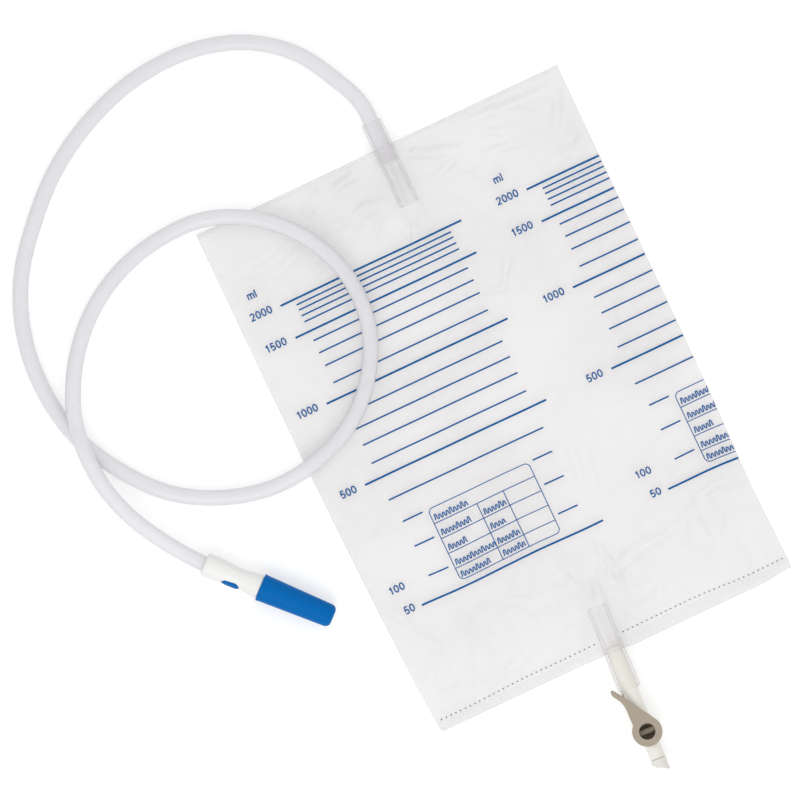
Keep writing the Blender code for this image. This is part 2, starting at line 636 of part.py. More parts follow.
def make_connector(finish):
    """A socket for the hose, a waist, a flare and a ridged nozzle under the cap."""
    place = along(CONNECTOR_START, CONNECTOR_HEADING)
    length = CONNECTOR_LENGTH
    seat = length + NOZZLE_SEAT_LENGTH
    tip = length + NOZZLE_LENGTH
    outer = [(0, CONNECTOR_START_RADIUS - CONNECTOR_EDGE), (CONNECTOR_EDGE, CONNECTOR_START_RADIUS),
             (0.20 * length, CONNECTOR_START_RADIUS), (0.37 * length, CONNECTOR_START_RADIUS - 0.0004),
             (0.50 * length, WAIST_RADIUS + 0.0002), (0.60 * length, WAIST_RADIUS),
             (0.72 * length, WAIST_RADIUS + 0.0002), (0.86 * length, WAIST_RADIUS + 0.0007),
             (length, FLARE_RADIUS), (length, nozzle_seat_radius()), (seat, nozzle_seat_radius())]
    pitch = (tip - seat) / NOZZLE_RIDGES
    for i in range(NOZZLE_RIDGES):
        crest = NOZZLE_ROOT_RADIUS + (NOZZLE_TIP_RADIUS - NOZZLE_ROOT_RADIUS) * i / NOZZLE_RIDGES
        outer.append((seat + pitch * i + NOZZLE_RIDGE_SLOPE, crest))
        outer.append((seat + pitch * (i + 1) - NOZZLE_RIDGE_SLOPE, crest - NOZZLE_RIDGE_HEIGHT))
    outer.append((tip, NOZZLE_TIP_RADIUS - NOZZLE_RIDGE_HEIGHT))
    socket = HOSE_RADIUS + FIT_GAP
    inner = [(0, socket), (SOCKET_DEPTH, socket), (SOCKET_DEPTH, CONNECTOR_BORE), (tip, CONNECTOR_BORE)]
    item = turned("connector_body", outer, inner, place, finish)
    pocket = septum_form("septum_pocket", FIT_GAP, -FIT_GAP, 3 * CUT_PAST)
    set_boolean(item, pocket, "DIFFERENCE")
    hole = cylinder("sample_hole", SAMPLE_HOLE_RADIUS, 0, WAIST_RADIUS, septum_place(), TINY_STEPS)
    set_boolean(item, hole, "DIFFERENCE")


def nozzle_seat_radius():
    """The nozzle's seat fills the cap's mouth."""
    return CAP_MOUTH_RADIUS - CAP_WALL - FIT_GAP


def septum_place():
    """Local +Z faces out of the connector's side, local +X runs along the connector."""
    centre = CONNECTOR_START + CONNECTOR_AXIS * SEPTUM_FROM_START
    base = Matrix.Rotation(CONNECTOR_HEADING, 4, "Z")
    return Matrix.Translation(centre) @ base @ Matrix.Rotation(pi / 2 - SEPTUM_TURN, 4, "X")


def septum_form(name, grow, below, above):
    """The oblong plug's form, grown on its sides; above None makes its own slightly domed top."""
    low = WAIST_RADIUS + SEPTUM_PROUD - SEPTUM_DEPTH + below
    top = WAIST_RADIUS + SEPTUM_PROUD + (above or 0)
    half = SEPTUM_WIDTH / 2 + grow
    straight = (SEPTUM_LENGTH - SEPTUM_WIDTH) / 2
    ends = [(x + straight, y) for x, y in arc(half, -90, 90, 8)]
    ends += [(x - straight, y) for x, y in arc(half, 90, 270, 8)]
    bm = bmesh.new()
    face = bm.faces.new([bm.verts.new((x, y, low)) for x, y in ends])
    lifted = bmesh.ops.extrude_face_region(bm, geom=[face])
    verts = [v for v in lifted["geom"] if isinstance(v, bmesh.types.BMVert)]
    bmesh.ops.translate(bm, verts=verts, vec=(0, 0, top - low))
    if above is None:
        crown = max(bm.faces, key=lambda f: f.calc_center_median().z)
        bmesh.ops.bevel(bm, geom=list(crown.edges), offset=SEPTUM_ROUNDING, segments=2,
                        profile=0.5, affect="EDGES", material=-1)
    bmesh.ops.recalc_face_normals(bm, faces=bm.faces)
    return add_object(name, mesh_from(bm, name), septum_place(), cutter=above is not None)


def make_septum(finish):
    item = septum_form("sampling_septum", 0, 0, None)
    item.data.materials.append(finish)


def make_cap(finish):
    """A closed cap with a rounded end and a small lip; its origin lies on the slide's axis."""
    place = along(CONNECTOR_START + CONNECTOR_AXIS * (CONNECTOR_LENGTH + FIT_GAP), CONNECTOR_HEADING)
    end = CAP_LENGTH
    shift = end - CAP_CORNER
    lip = CAP_MOUTH_RADIUS + CAP_LIP
    outer = [(0, lip), (CAP_LIP_LENGTH - CAP_LIP, lip), (CAP_LIP_LENGTH, CAP_MOUTH_RADIUS)]
    outer += [(shift + CAP_CORNER * sin(radians(a)), CAP_END_RADIUS - CAP_CORNER * (1 - cos(radians(a))))
              for a in (0, 30, 60, 90)]
    outer.append((end, 0))
    inner = [(0, CAP_MOUTH_RADIUS - CAP_WALL), (shift, CAP_END_RADIUS - CAP_WALL),
             (end - CAP_WALL, CAP_END_RADIUS - CAP_CORNER), (end - CAP_WALL, 0)]
    turned("protective_cap", outer, inner, place, finish)


clear_scene()
PARTS = new_collection("urine_drainage_bag")
CUTTERS = new_collection("cutters")

make_film("back_film", back_height, material("clear film back", (0.80, 0.80, 0.80), 0.25, 0.35))
make_film("front_film", front_height, material("clear film front", (0.80, 0.80, 0.80), 0.25, 0.35),
          material("blue ink", (0.008, 0.11, 0.36), 0.5))
make_inlet_port(material("clear inlet sleeve", (0.75, 0.75, 0.76), 0.2, 0.5))
make_valve(material("soft valve", (0.70, 0.70, 0.72), 0.4, 0.8))
make_outlet_port(material("clear outlet sleeve", (0.75, 0.74, 0.70), 0.2, 0.5))
make_tap_body(material("milky tap", (0.80, 0.79, 0.72), 0.35, 0.9))
make_tap_lever(material("taupe lever", (0.42, 0.36, 0.28), 0.5))
make_tap_keeper(material("taupe keeper", (0.42, 0.36, 0.28), 0.5))
make_drain_tip(material("ivory tip", (0.82, 0.81, 0.74), 0.4, 0.9))
make_hose(material("milky hose", (0.73, 0.73, 0.76), 0.3, 0.85))
make_connector(material("white connector", (0.84, 0.83, 0.80), 0.35))
make_septum(material("blue septum", (0.003, 0.15, 0.45), 0.5))
make_cap(material("blue cap", (0.003, 0.14, 0.45), 0.4))
for part in PARTS.objects:
    if part.type == "MESH" and part.name not in ("back_film", "front_film", "non_return_valve"):
        shade_round(part)
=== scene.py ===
"""Looks of the urine drainage bag: clear film with a printed scale, hose, connector, tap and studio.

Metres, +Z up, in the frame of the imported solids: the empty bag lies on the XY plane, inlet at +Y.
"""

import json
import random
from math import ceil, cos, exp, pi, radians, sin

import bmesh
import bpy
from bpy.props import FloatProperty, FloatVectorProperty, IntProperty, PointerProperty
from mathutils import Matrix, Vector, noise
from mathutils.bvhtree import BVHTree

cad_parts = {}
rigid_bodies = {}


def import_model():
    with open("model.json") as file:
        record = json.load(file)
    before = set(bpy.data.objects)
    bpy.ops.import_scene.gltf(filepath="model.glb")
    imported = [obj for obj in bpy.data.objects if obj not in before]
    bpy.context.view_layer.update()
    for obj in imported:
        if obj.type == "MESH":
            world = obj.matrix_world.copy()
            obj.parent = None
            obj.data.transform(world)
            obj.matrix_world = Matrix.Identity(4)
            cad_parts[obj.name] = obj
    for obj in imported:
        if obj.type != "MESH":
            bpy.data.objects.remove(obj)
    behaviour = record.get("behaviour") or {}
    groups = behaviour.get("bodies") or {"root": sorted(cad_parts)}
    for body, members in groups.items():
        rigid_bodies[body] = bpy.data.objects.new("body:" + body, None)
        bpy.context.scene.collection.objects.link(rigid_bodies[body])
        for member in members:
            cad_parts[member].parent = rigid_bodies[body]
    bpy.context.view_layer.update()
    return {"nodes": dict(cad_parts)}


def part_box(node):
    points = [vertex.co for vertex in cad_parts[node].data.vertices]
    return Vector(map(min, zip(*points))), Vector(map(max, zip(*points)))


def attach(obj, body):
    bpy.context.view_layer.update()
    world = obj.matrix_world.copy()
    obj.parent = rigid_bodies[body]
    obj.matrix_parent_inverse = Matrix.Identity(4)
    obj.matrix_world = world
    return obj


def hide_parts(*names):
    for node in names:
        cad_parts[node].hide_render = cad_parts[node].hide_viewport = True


bl_info = {
    "name": "Urine Drainage Bag",
    "version": (1, 0, 0),
    "blender": (4, 5, 0),
    "location": "3D View > Sidebar > Drainage Bag",
    "description": "Dresses the packed solids of a drainage bag with film, print, hose and tap finishes",
    "category": "Object",
}

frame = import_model()
FILM_LOW, FILM_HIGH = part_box("front_film")

# Connector axis and hose ends, as the solids have them
INLET_X = 0.00345
CONNECTOR_START = Vector((-0.16605, 0.01390, 0.00715))
CONNECTOR_HEADING = radians(-47.8)
CONNECTOR_AXIS = Vector((cos(CONNECTOR_HEADING), sin(CONNECTOR_HEADING), 0))
SOCKET_DEPTH = 0.0095
HOSE_IN_PORT = 0.0220
HOSE_RADIUS = 0.0039

# The hose's route between the inlet port's mouth and the connector
FLOOR_Z = HOSE_RADIUS + 0.00005
OVER_FILM_Z = 0.0063
CROSSING_Z = 0.01205
HOSE_ROUTE = (
    (0.00330, 0.1860, 0.00580), (0.00185, 0.1925, 0.00540), (-0.0035, 0.2045, 0.00470),
    (-0.0143, 0.2231, 0.00410), (-0.0365, 0.2408, FLOOR_Z), (-0.0625, 0.2485, FLOOR_Z),
    (-0.0940, 0.2477, FLOOR_Z), (-0.1232, 0.2386, FLOOR_Z), (-0.1490, 0.2237, FLOOR_Z),
    (-0.1700, 0.2045, FLOOR_Z), (-0.1885, 0.1810, FLOOR_Z), (-0.1993, 0.1535, FLOOR_Z),
    (-0.2018, 0.1265, FLOOR_Z), (-0.1961, 0.0961, FLOOR_Z), (-0.1843, 0.0740, FLOOR_Z),
    (-0.1655, 0.0524, FLOOR_Z), (-0.1450, 0.0404, FLOOR_Z), (-0.1150, 0.0336, 0.00460),
    (-0.0960, 0.0357, 0.00590), (-0.0703, 0.0461, OVER_FILM_Z), (-0.0526, 0.0630, OVER_FILM_Z),
    (-0.0415, 0.0850, OVER_FILM_Z), (-0.0402, 0.1139, OVER_FILM_Z), (-0.0526, 0.1422, OVER_FILM_Z),
    (-0.0690, 0.1585, 0.00610), (-0.0930, 0.1695, 0.00520), (-0.1170, 0.1702, 0.00410),
    (-0.1418, 0.1641, FLOOR_Z), (-0.1600, 0.1540, 0.00450), (-0.1747, 0.1405, 0.00660),
    (-0.1859, 0.1245, 0.01030), (-0.1937, 0.1061, CROSSING_Z), (-0.1960, 0.0890, CROSSING_Z),
    (-0.1953, 0.0720, 0.01100), (-0.1898, 0.0520, 0.00890), (-0.1800, 0.0333, 0.00765),
)

# Print on the front film: line positions along Y, label centres, and the write-in form
THICK_LINES = (0.11415, 0.09645, 0.06000, 0.01510, -0.05210)
THIN_LINES = (0.11115, 0.10830, 0.10510, 0.10180, 0.09135, 0.08465, 0.07760, 0.06810,
              0.05100, 0.04235, 0.03350, 0.02345, 0.00320)
SHORT_LINES = (-0.00945, -0.02310, -0.03960)
THICK_SPAN = (-0.07675, 0.02325)
THIN_SPAN = (-0.06925, 0.01615)
SHORT_SPANS = ((-0.06745, -0.05655), (0.00425, 0.01505))
LABELS = (("ml", -0.08700, 0.12530), ("2000", -0.08720, 0.11490), ("1500", -0.08740, 0.09740),
          ("1000", -0.08740, 0.06070), ("500", -0.08590, 0.01550), ("100", -0.08480, -0.03900),
          ("50", -0.08320, -0.05100))
FORM_LOW = (-0.05375, -0.04850)
FORM_HIGH = (0.00175, -0.00945)
FORM_CORNER = 0.0026
FORM_LINE_WIDTH = 0.00047
FORM_ROWS = (-0.01720, -0.02535, -0.03350, -0.04180)
FORM_COLUMNS = (-0.03020, -0.01565)
FORM_WORD_IN, FORM_WORD_UP = 0.0012, 0.0014  # of a word from its cell's lower left corner
FORM_WORDS = ((0.0178, 0), (0.0173, 0.0130), (0.0099, 0.0088), (0.0218, 0.0124), (0.0163, 0.0113))
PRINT_REPEAT = 0.1361  # to the print's second copy
SEAM_DOTS_Y = -0.10730
SEAM_DOT_PITCH = 0.00265
SEAM_DOT_RADIUS = 0.00037
SEAM_DOTS_FROM = 0.0075  # from the film's left edge
SEAM_DOTS_TO = 0.002  # and to its right edge
OUTLET_X = 0.0009
OUTLET_HALF_WIDTH = 0.0062

# How the film's outline and print leave straight lines, and where wrinkles stay away
LEFT_BOW = 0.0023
RIGHT_DENT = 0.0011
BOTTOM_SAG = 0.0015
PRINT_ARCH = 0.0014  # how far print and dots rise toward the middle at the bottom
PRINT_WAVE = 0.00015  # and how far it waves with the film, above and below the middle
LOW_PRINT_WAVE = 0.0009
CAP_SPOT = Vector((-0.0918, -0.0670))  # the pulled-off cap lies here, so the film is kept smooth
CAP_SPOT_RADIUS = 0.0080
CAP_SPOT_EASE = 0.010

# The film's larger creases, in mm and degrees: x, y, turn, half length, half width, height
CREASES = (
    (72, 156, -8, 27, 2.6, 0.85), (79, 150, -38, 7, 1.6, 0.60), (90, 145, 65, 10, 2.0, 0.70),
    (26, 151, -14, 13, 2.2, 0.90), (58, 138, -4, 16, 1.7, 0.45), (-21, 157, 22, 10, 2.2, 0.75),
    (-42, 150, 40, 7, 1.5, 0.60), (-44, 148, -50, 6, 1.5, 0.55), (-17, 141, 10, 6, 1.5, 0.50),
    (-31, 139, -6, 15, 2.4, 0.45), (33, 82, 48, 9, 1.9, 0.55), (23, 77, -12, 9, 1.7, 0.45),
    (39, -73, 12, 22, 1.9, 0.60), (80, -61, 2, 12, 2.0, 0.60), (70, -78, -87, 15, 2.2, 0.60),
    (78, -95, 95, 10, 2.0, 0.50), (-74, -99, -14, 10, 2.0, 0.60), (-47, -97, 18, 17, 2.8, 0.60),
    (-1, -70, 90, 16, 2.0, 0.50), (17, -74, 97, 16, 2.0, 0.60), (-30, -71, -7, 17, 2.4, 0.40),
    (23, -20, 80, 20, 2.6, 0.40), (34, -14, 84, 18, 2.4, 0.35), (-88, -58, -62, 11, 2.0, 0.45),
    (48, 128, -20, 12, 2.6, 0.40), (60, 146, -25, 10, 2.0, 0.55), (-66, 152, 12, 14, 2.2, 0.40),
)

# Bands of small creases: how many, x and y from and to, turn and its spread, then half length, half
# width and height from and to
CREASE_BANDS = (
    (40, (FILM_LOW.x, FILM_HIGH.x), (FILM_HIGH.y - 0.004, FILM_HIGH.y - 0.040), (0.05, 0.35),
     (0.006, 0.024), (0.0014, 0.0030), (0.12, 0.40)),  # along the top weld
    (26, (FILM_LOW.x, FILM_HIGH.x), (FILM_LOW.y + 0.006, FILM_LOW.y + 0.050), (1.2, 0.7),
     (0.006, 0.024), (0.0015, 0.0035), (0.12, 0.40)),  # along the bottom weld
    (24, (FILM_HIGH.x - 0.004, FILM_HIGH.x - 0.045), (FILM_LOW.y, FILM_HIGH.y - 0.03), (1.35, 0.5),
     (0.008, 0.030), (0.0016, 0.0040), (0.12, 0.42)),  # down the right side
    (14, (FILM_LOW.x + 0.006, FILM_LOW.x + 0.030), (FILM_LOW.y, FILM_HIGH.y - 0.03), (1.5, 0.4),
     (0.008, 0.026), (0.0016, 0.0035), (0.10, 0.30)),  # down the left side
)
PORT_END_CREASES = ((0.1330, -1), (-0.0880, 1))  # y of the ports' inner ends, and the way into the bag
CREASE_TAPER = 1.6  # where a crease runs out, in half lengths
CREASE_SKIRT = 3.2  # and how far its sides reach, in half widths
STEEP_GAIN = 5.0  # how soon a tipped film counts as steep

# Welds, and how the pieces lie on each other
TOP_WELD = 0.0022
BOTTOM_WELD = 0.0052
EDGE_EASE = 0.010  # how far in from its edge the film wrinkles fully
FILM_GAP = 0.00005
PORT_GAP = 0.0001
PRINT_LIFT = 0.00004
PRINT_INSET = 0.0003  # how far the print stays in from the film's right edge
LINE_WALL = 0.00002  # thickness of the ink
DOT_WALL = 0.00004
SHARP_ANGLE = 35  # edges sharper than this, in degrees, are kept and rounded
MOULD_EDGE = 0.00018  # edge roundings: connector and cap, sleeves and tap, and the cut tip
SOFT_EDGE = 0.0002
CUT_EDGE = 0.00008

# Second colours: painted crease shade, clouding that milky pieces also darken to as painted rim shade,
# painted rim shade of clear pieces, and thinner ink
PAINTED_CREASE_SHADE = (0.50, 0.485, 0.485)
HOSE_CLOUD_AND_RIM_SHADE = (0.89, 0.88, 0.915)
TAP_CLOUD_AND_RIM_SHADE = (0.92, 0.89, 0.79)
TIP_COLOUR, TIP_CLOUD_AND_RIM_SHADE = (0.89, 0.87, 0.81), (0.85, 0.83, 0.76)
SLEEVE_RIM_SHADE = (0.36, 0.345, 0.35)
VALVE_COLOUR, VALVE_RIM_SHADE = (0.92, 0.91, 0.91), (0.62, 0.60, 0.60)
THIN_INK = (0.016, 0.148, 0.395)
DOT_INK, THIN_DOT_INK = (0.045, 0.05, 0.065), (0.10, 0.105, 0.125)
MILKY_SHADE = 0.6  # share of alpha that milky pieces show to shadow rays
CLEAR_SHADE = 0.4  # and clear ones

# Camera: straight above, turned as the photograph has it
PICTURE_TURN = radians(-25.3)
PICTURE_CENTRE = (-0.0428, 0.0461)
PICTURE_WIDTH = 0.400
SENSOR_MM = 36
LENS_MM = 400  # far off, so that tall pieces keep their places

# Lamps: place, what they aim at, size and power
LAMPS = (
    ("key", (-0.55, -0.75, 0.95), (0, 0.03, 0), (0.9, 0.9), 4.6),
    ("fill", (0.70, 0.65, 1.05), (0, 0.03, 0), (0.8, 0.8), 1.8),
)


class BagSettings(bpy.types.PropertyGroup):
    """Sizes and colours that a user would change."""
    film_cell: FloatProperty(
        name="Film cell", description="Width of one facet of the film", default=0.0011, unit="LENGTH")
    film_thickness: FloatProperty(
        name="Film thickness", description="Wall of each film", default=0.0002, unit="LENGTH")
    film_alpha: FloatProperty(
        name="Film haze", description="How much one face of the film hides", default=0.126,
        subtype="FACTOR")
    wrinkle_height: FloatProperty(
        name="Wrinkle height", description="Height of large wrinkles", default=0.0011, unit="LENGTH")
    wrinkle_seed: IntProperty(name="Wrinkle seed", description="Seed of the creases", default=11)
    hose_diameter: FloatProperty(
        name="Hose diameter", description="Outside of the hose", default=2 * HOSE_RADIUS, unit="LENGTH")
    line_width: FloatProperty(
        name="Line width", description="Width of the numbered lines", default=0.00104, unit="LENGTH")
    thin_line_width: FloatProperty(
        name="Thin line width", description="Width of the lines between", default=0.00082, unit="LENGTH")
    digit_height: FloatProperty(
        name="Digit height", description="Height of the printed digits", default=0.0039, unit="LENGTH")
    film_colour: FloatVectorProperty(
        name="Film", description="Haze of the clear film", subtype="COLOR", default=(0.80, 0.775, 0.78))
    ink_colour: FloatVectorProperty(
        name="Ink", description="Printed scale", subtype="COLOR", default=(0.0005, 0.106, 0.350))
    hose_colour: FloatVectorProperty(
        name="Hose", description="Milky hose", subtype="COLOR", default=(0.92, 0.91, 0.94))
    connector_colour: FloatVectorProperty(
        name="Connector", description="White plastic", subtype="COLOR", default=(0.90, 0.90, 0.885))
    cap_colour: FloatVectorProperty(
        name="Cap", description="Blue cap and septum", subtype="COLOR", default=(0.0005, 0.140, 0.46))
    sleeve_colour: FloatVectorProperty(
        name="Sleeves", description="Clear port sleeves", subtype="COLOR", default=(0.82, 0.80, 0.805))
    tap_colour: FloatVectorProperty(
        name="Tap", description="Milky tap body", subtype="COLOR", default=(0.97, 0.945, 0.885))
    lever_colour: FloatVectorProperty(
        name="Lever", description="Taupe lever", subtype="COLOR", default=(0.405, 0.345, 0.270))


# Shader groups

def new_group(name, inputs, outputs):
    group = bpy.data.node_groups.new(name, "ShaderNodeTree")
    for label, kind, default in inputs:
        socket = group.interface.new_socket(label, in_out="INPUT", socket_type=kind)
        socket.default_value = default
    for label, kind in outputs:
        group.interface.new_socket(label, in_out="OUTPUT", socket_type=kind)
    return group, group.nodes.new("NodeGroupInput"), group.nodes.new("NodeGroupOutput")


def math_node(tree, operation, first, second=None, third=None, clamp=False):
    """A Math node; each value is a number or an output socket."""
    node = tree.nodes.new("ShaderNodeMath")
    node.operation = operation
    node.use_clamp = clamp
    for socket, value in zip(node.inputs, (first, second, third)):
        if isinstance(value, bpy.types.NodeSocket):
            tree.links.new(value, socket)
        elif value is not None:
            socket.default_value = value
    return node.outputs[0]


def noise_node(tree, scale, detail=2.0, roughness=0.5, distortion=0.0, stretch=1.0):
    """Noise on Object coordinates, in features a metre; it can be drawn out along Y."""
    place = tree.nodes.new("ShaderNodeTexCoord").outputs["Object"]
    node = tree.nodes.new("ShaderNodeTexNoise")
    if stretch != 1.0:
        mapping = tree.nodes.new("ShaderNodeMapping")
        mapping.inputs["Scale"].default_value = (1, 1 / stretch, 1)
        tree.links.new(place, mapping.inputs["Vector"])
        place = mapping.outputs["Vector"]
    tree.links.new(place, node.inputs["Vector"])
    for label, value in (("Scale", scale), ("Detail", detail), ("Roughness", roughness),
                         ("Distortion", distortion)):
        if isinstance(value, bpy.types.NodeSocket):
            tree.links.new(value, node.inputs[label])
        else:
            node.inputs[label].default_value = value
    return node.outputs[0]


def mix_colours(tree, share, first, second):
    """A colour between two; each is a colour or an output socket."""
    mix = tree.nodes.new("ShaderNodeMix")
    mix.data_type = "RGBA"
    tree.links.new(share, mix.inputs["Factor"])
    for label, value in (("A", first), ("B", second)):
        socket = next(s for s in mix.inputs if s.name == label and s.type == "RGBA")
        if isinstance(value, bpy.types.NodeSocket):
            tree.links.new(value, socket)
        else:
            socket.default_value = (*value, 1)
    return next(s for s in mix.outputs if s.type == "RGBA")


def ridge_of(group, value, sharpness):
    """1 where the noise passes its middle, falling off to both sides."""
    off = math_node(group, "ABSOLUTE", math_node(group, "SUBTRACT", value, 0.5))
    return math_node(group, "MULTIPLY_ADD", off, -sharpness, 1.0, clamp=True)


def make_crinkle_group():
    """Soft creases of thin film: sharp ridges where two noises cross."""
    group, given, out = new_group(
        "film_crinkle", [("Scale", "NodeSocketFloat", 60.0)], [("Height", "NodeSocketFloat")])
    broad = noise_node(group, given.outputs["Scale"], 2.0, 0.55, 0.6)
    finer = noise_node(group, math_node(group, "MULTIPLY", given.outputs["Scale"], 2.7), 1.0)
    ridge, fold = ridge_of(group, broad, 9.0), ridge_of(group, finer, 7.0)
    creases = math_node(group, "MULTIPLY_ADD", fold, 0.35, ridge)
    height = math_node(group, "MULTIPLY_ADD", creases, 0.9, broad)
    group.links.new(height, out.inputs["Height"])
    return group


def make_moulded_group():
    """Fine surface of a moulded piece: a faint grain, and a slow change of gloss."""
    group, given, out = new_group(
        "moulded_surface",
        [("Grain", "NodeSocketFloat", 2500.0), ("Gloss", "NodeSocketFloat", 0.4),
         ("Gloss change", "NodeSocketFloat", 0.1)],
        [("Height", "NodeSocketFloat"), ("Roughness", "NodeSocketFloat")])
    grain = noise_node(group, given.outputs["Grain"], 2.0, 0.6)
    slow = noise_node(group, 140.0, 1.0)
    change = math_node(group, "SUBTRACT", slow, 0.5)
    change = math_node(group, "MULTIPLY", change, given.outputs["Gloss change"])
    gloss = math_node(group, "ADD", change, given.outputs["Gloss"], clamp=True)
    group.links.new(grain, out.inputs["Height"])
    group.links.new(gloss, out.inputs["Roughness"])
    return group


def make_cloud_group():
    """Uneven milkiness of soft plastic: one colour drifting to another along the piece."""
    group, given, out = new_group(
        "milky_cloud",
        [("Colour", "NodeSocketColor", (0.8, 0.8, 0.8, 1)),
         ("Deep colour", "NodeSocketColor", (0.6, 0.6, 0.6, 1)),
         ("Scale", "NodeSocketFloat", 90.0), ("Strength", "NodeSocketFloat", 0.5)],
        [("Colour", "NodeSocketColor")])
    drift = noise_node(group, given.outputs["Scale"], 2.0)
    spread = math_node(group, "MULTIPLY_ADD", drift, 2.6, -0.8, clamp=True)
    share = math_node(group, "MULTIPLY", spread, given.outputs["Strength"], clamp=True)
    mixed = mix_colours(group, share, given.outputs["Colour"], given.outputs["Deep colour"])
    group.links.new(mixed, out.inputs["Colour"])
    return group


def make_streak_group():
    """Soft bands that run the length of a tube, which lies along Y."""
    group, given, out = new_group(
        "tube_streaks", [("Scale", "NodeSocketFloat", 330.0), ("Strength", "NodeSocketFloat", 1.0)],
        [("Mask", "NodeSocketFloat")])
    band = noise_node(group, given.outputs["Scale"], 1.0, stretch=22.0)
    band = math_node(group, "MULTIPLY_ADD", band, 5.0, -2.4, clamp=True)
    group.links.new(math_node(group, "MULTIPLY", band, given.outputs["Strength"]), out.inputs["Mask"])
    return group


def shader_group(name):
    makers = {"film_crinkle": make_crinkle_group, "moulded_surface": make_moulded_group,
              "milky_cloud": make_cloud_group, "tube_streaks": make_streak_group}
    return bpy.data.node_groups.get(name) or makers[name]()


def new_material(name, **constants):
    """A Principled material; the constants are the shader's own sockets, with _ for a space."""
    made = bpy.data.materials.new(name)
    made.use_nodes = True
    shader = made.node_tree.nodes["Principled BSDF"]
    for label, value in constants.items():
        socket = shader.inputs[label.replace("_", " ")]
        if socket.type == "RGBA":
            value = (*value, 1)
        socket.default_value = value
    return made, shader


def use_group(made, name, **values):
    node = made.node_tree.nodes.new("ShaderNodeGroup")
    node.node_tree = shader_group(name)
    for label, value in values.items():
        node.inputs[label.replace("_", " ")].default_value = value
    return node


def clouded(made, colour, deep, **values):
    """A socket with a colour that drifts to a second one."""
    cloud = use_group(made, "milky_cloud", **values)
    cloud.inputs["Colour"].default_value = (*colour, 1)
    cloud.inputs["Deep colour"].default_value = (*deep, 1)
    return cloud.outputs["Colour"]


def add_bump(made, shader, height, strength, distance):
    bump = made.node_tree.nodes.new("ShaderNodeBump")
    bump.inputs["Strength"].default_value = strength
    bump.inputs["Distance"].default_value = distance
    made.node_tree.links.new(height, bump.inputs["Height"])
    made.node_tree.links.new(bump.outputs["Normal"], shader.inputs["Normal"])


def moulded(name, colour, roughness, bump=0.06, **constants):
    """Opaque moulded plastic with a faint grain."""
    made, shader = new_material(name, Base_Color=tuple(colour), Roughness=roughness, **constants)
    surface = use_group(made, "moulded_surface", Gloss=roughness, Gloss_change=0.12)
    made.node_tree.links.new(surface.outputs["Roughness"], shader.inputs["Roughness"])
    add_bump(made, shader, surface.outputs["Height"], bump, 0.0002)
    return made


def milky(name, colour, deep, roughness, alpha, rim_alpha, rim_shade=1.0, bump=0.05, **constants):
    """Soft translucent plastic that hides more where it is seen edge on, and gets painted shade there, a
    darker colour on its rims.
    """
    made, shader = new_material(name, Roughness=roughness, **constants)
    tree = made.node_tree
    cloud = clouded(made, colour, deep, Strength=0.5)
    # painted rim shade: edge on, the colour turns to rim_shade times the deep colour
    shaded = mix_colours(tree, edge_on(tree, 3.5), cloud, tuple(rim_shade * c for c in deep))
    tree.links.new(shaded, shader.inputs["Base Color"])
    change = math_node(tree, "MULTIPLY_ADD", edge_on(tree, 1.2), rim_alpha - alpha, alpha)
    tree.links.new(passing_light(tree, change, MILKY_SHADE), shader.inputs["Alpha"])
    surface = use_group(made, "moulded_surface", Grain=1200.0)
    add_bump(made, shader, surface.outputs["Height"], bump, 0.0002)
    return made


def edge_on(tree, power):
    """0 face on, 1 edge on, kept narrow by the power."""
    weight = tree.nodes.new("ShaderNodeLayerWeight")
    weight.inputs["Blend"].default_value = 0.5
    return math_node(tree, "POWER", weight.outputs["Facing"], power)


def passing_light(tree, hidden, share):
    """The same alpha, but shadow rays meet only a share of it, as haze passes on what it scatters."""
    path = tree.nodes.new("ShaderNodeLightPath")
    less = math_node(tree, "MULTIPLY_ADD", path.outputs["Is Shadow Ray"], share - 1.0, 1.0)
    return math_node(tree, "MULTIPLY", hidden, less)


def stored(tree, name):
    """A value from 0 to 1 that is stored on the mesh."""
    node = tree.nodes.new("ShaderNodeAttribute")
    node.attribute_name = name
    return node.outputs["Fac"]


def film_material(name, settings, haze, bump=0.0):
    """Clear film: faint haze that drifts, with painted shade on the flanks of its creases, and greyer
    along its weld.
    """
    made, shader = new_material(name, Roughness=0.18, IOR=1.5, Specular_IOR_Level=0.9)
    tree = made.node_tree
    crease_shade_mask = stored(tree, "steep")
    # painted shade: the film's colour turns grey where the stored steep value marks crease flanks and
    # folds
    tree.links.new(mix_colours(tree, crease_shade_mask, tuple(settings.film_colour), PAINTED_CREASE_SHADE),
                   shader.inputs["Base Color"])
    hidden = math_node(tree, "MULTIPLY_ADD", stored(tree, "haze"), 0.28 * haze, 0.90 * haze)
    hidden = math_node(tree, "MULTIPLY_ADD", crease_shade_mask, 0.20, hidden)
    hidden = math_node(tree, "MULTIPLY_ADD", edge_on(tree, 2.0), 0.25, hidden)
    hidden = math_node(tree, "MULTIPLY_ADD", weld_mask(tree), 0.02, hidden, clamp=True)
    tree.links.new(passing_light(tree, hidden, CLEAR_SHADE), shader.inputs["Alpha"])
    if bump:
        crinkle = use_group(made, "film_crinkle", Scale=55.0)
        add_bump(made, shader, crinkle.outputs["Height"], bump, 0.0006)
    return made


def weld_mask(tree):
    """1 on the welded strips along the film's two ends, by Object coordinates."""
    place = tree.nodes.new("ShaderNodeTexCoord")
    split = tree.nodes.new("ShaderNodeSeparateXYZ")
    tree.links.new(place.outputs["Object"], split.inputs["Vector"])
    top = math_node(tree, "GREATER_THAN", split.outputs["Y"], FILM_HIGH.y - TOP_WELD)
    bottom = math_node(tree, "LESS_THAN", split.outputs["Y"], FILM_LOW.y + BOTTOM_WELD)
    return math_node(tree, "ADD", top, bottom, clamp=True)


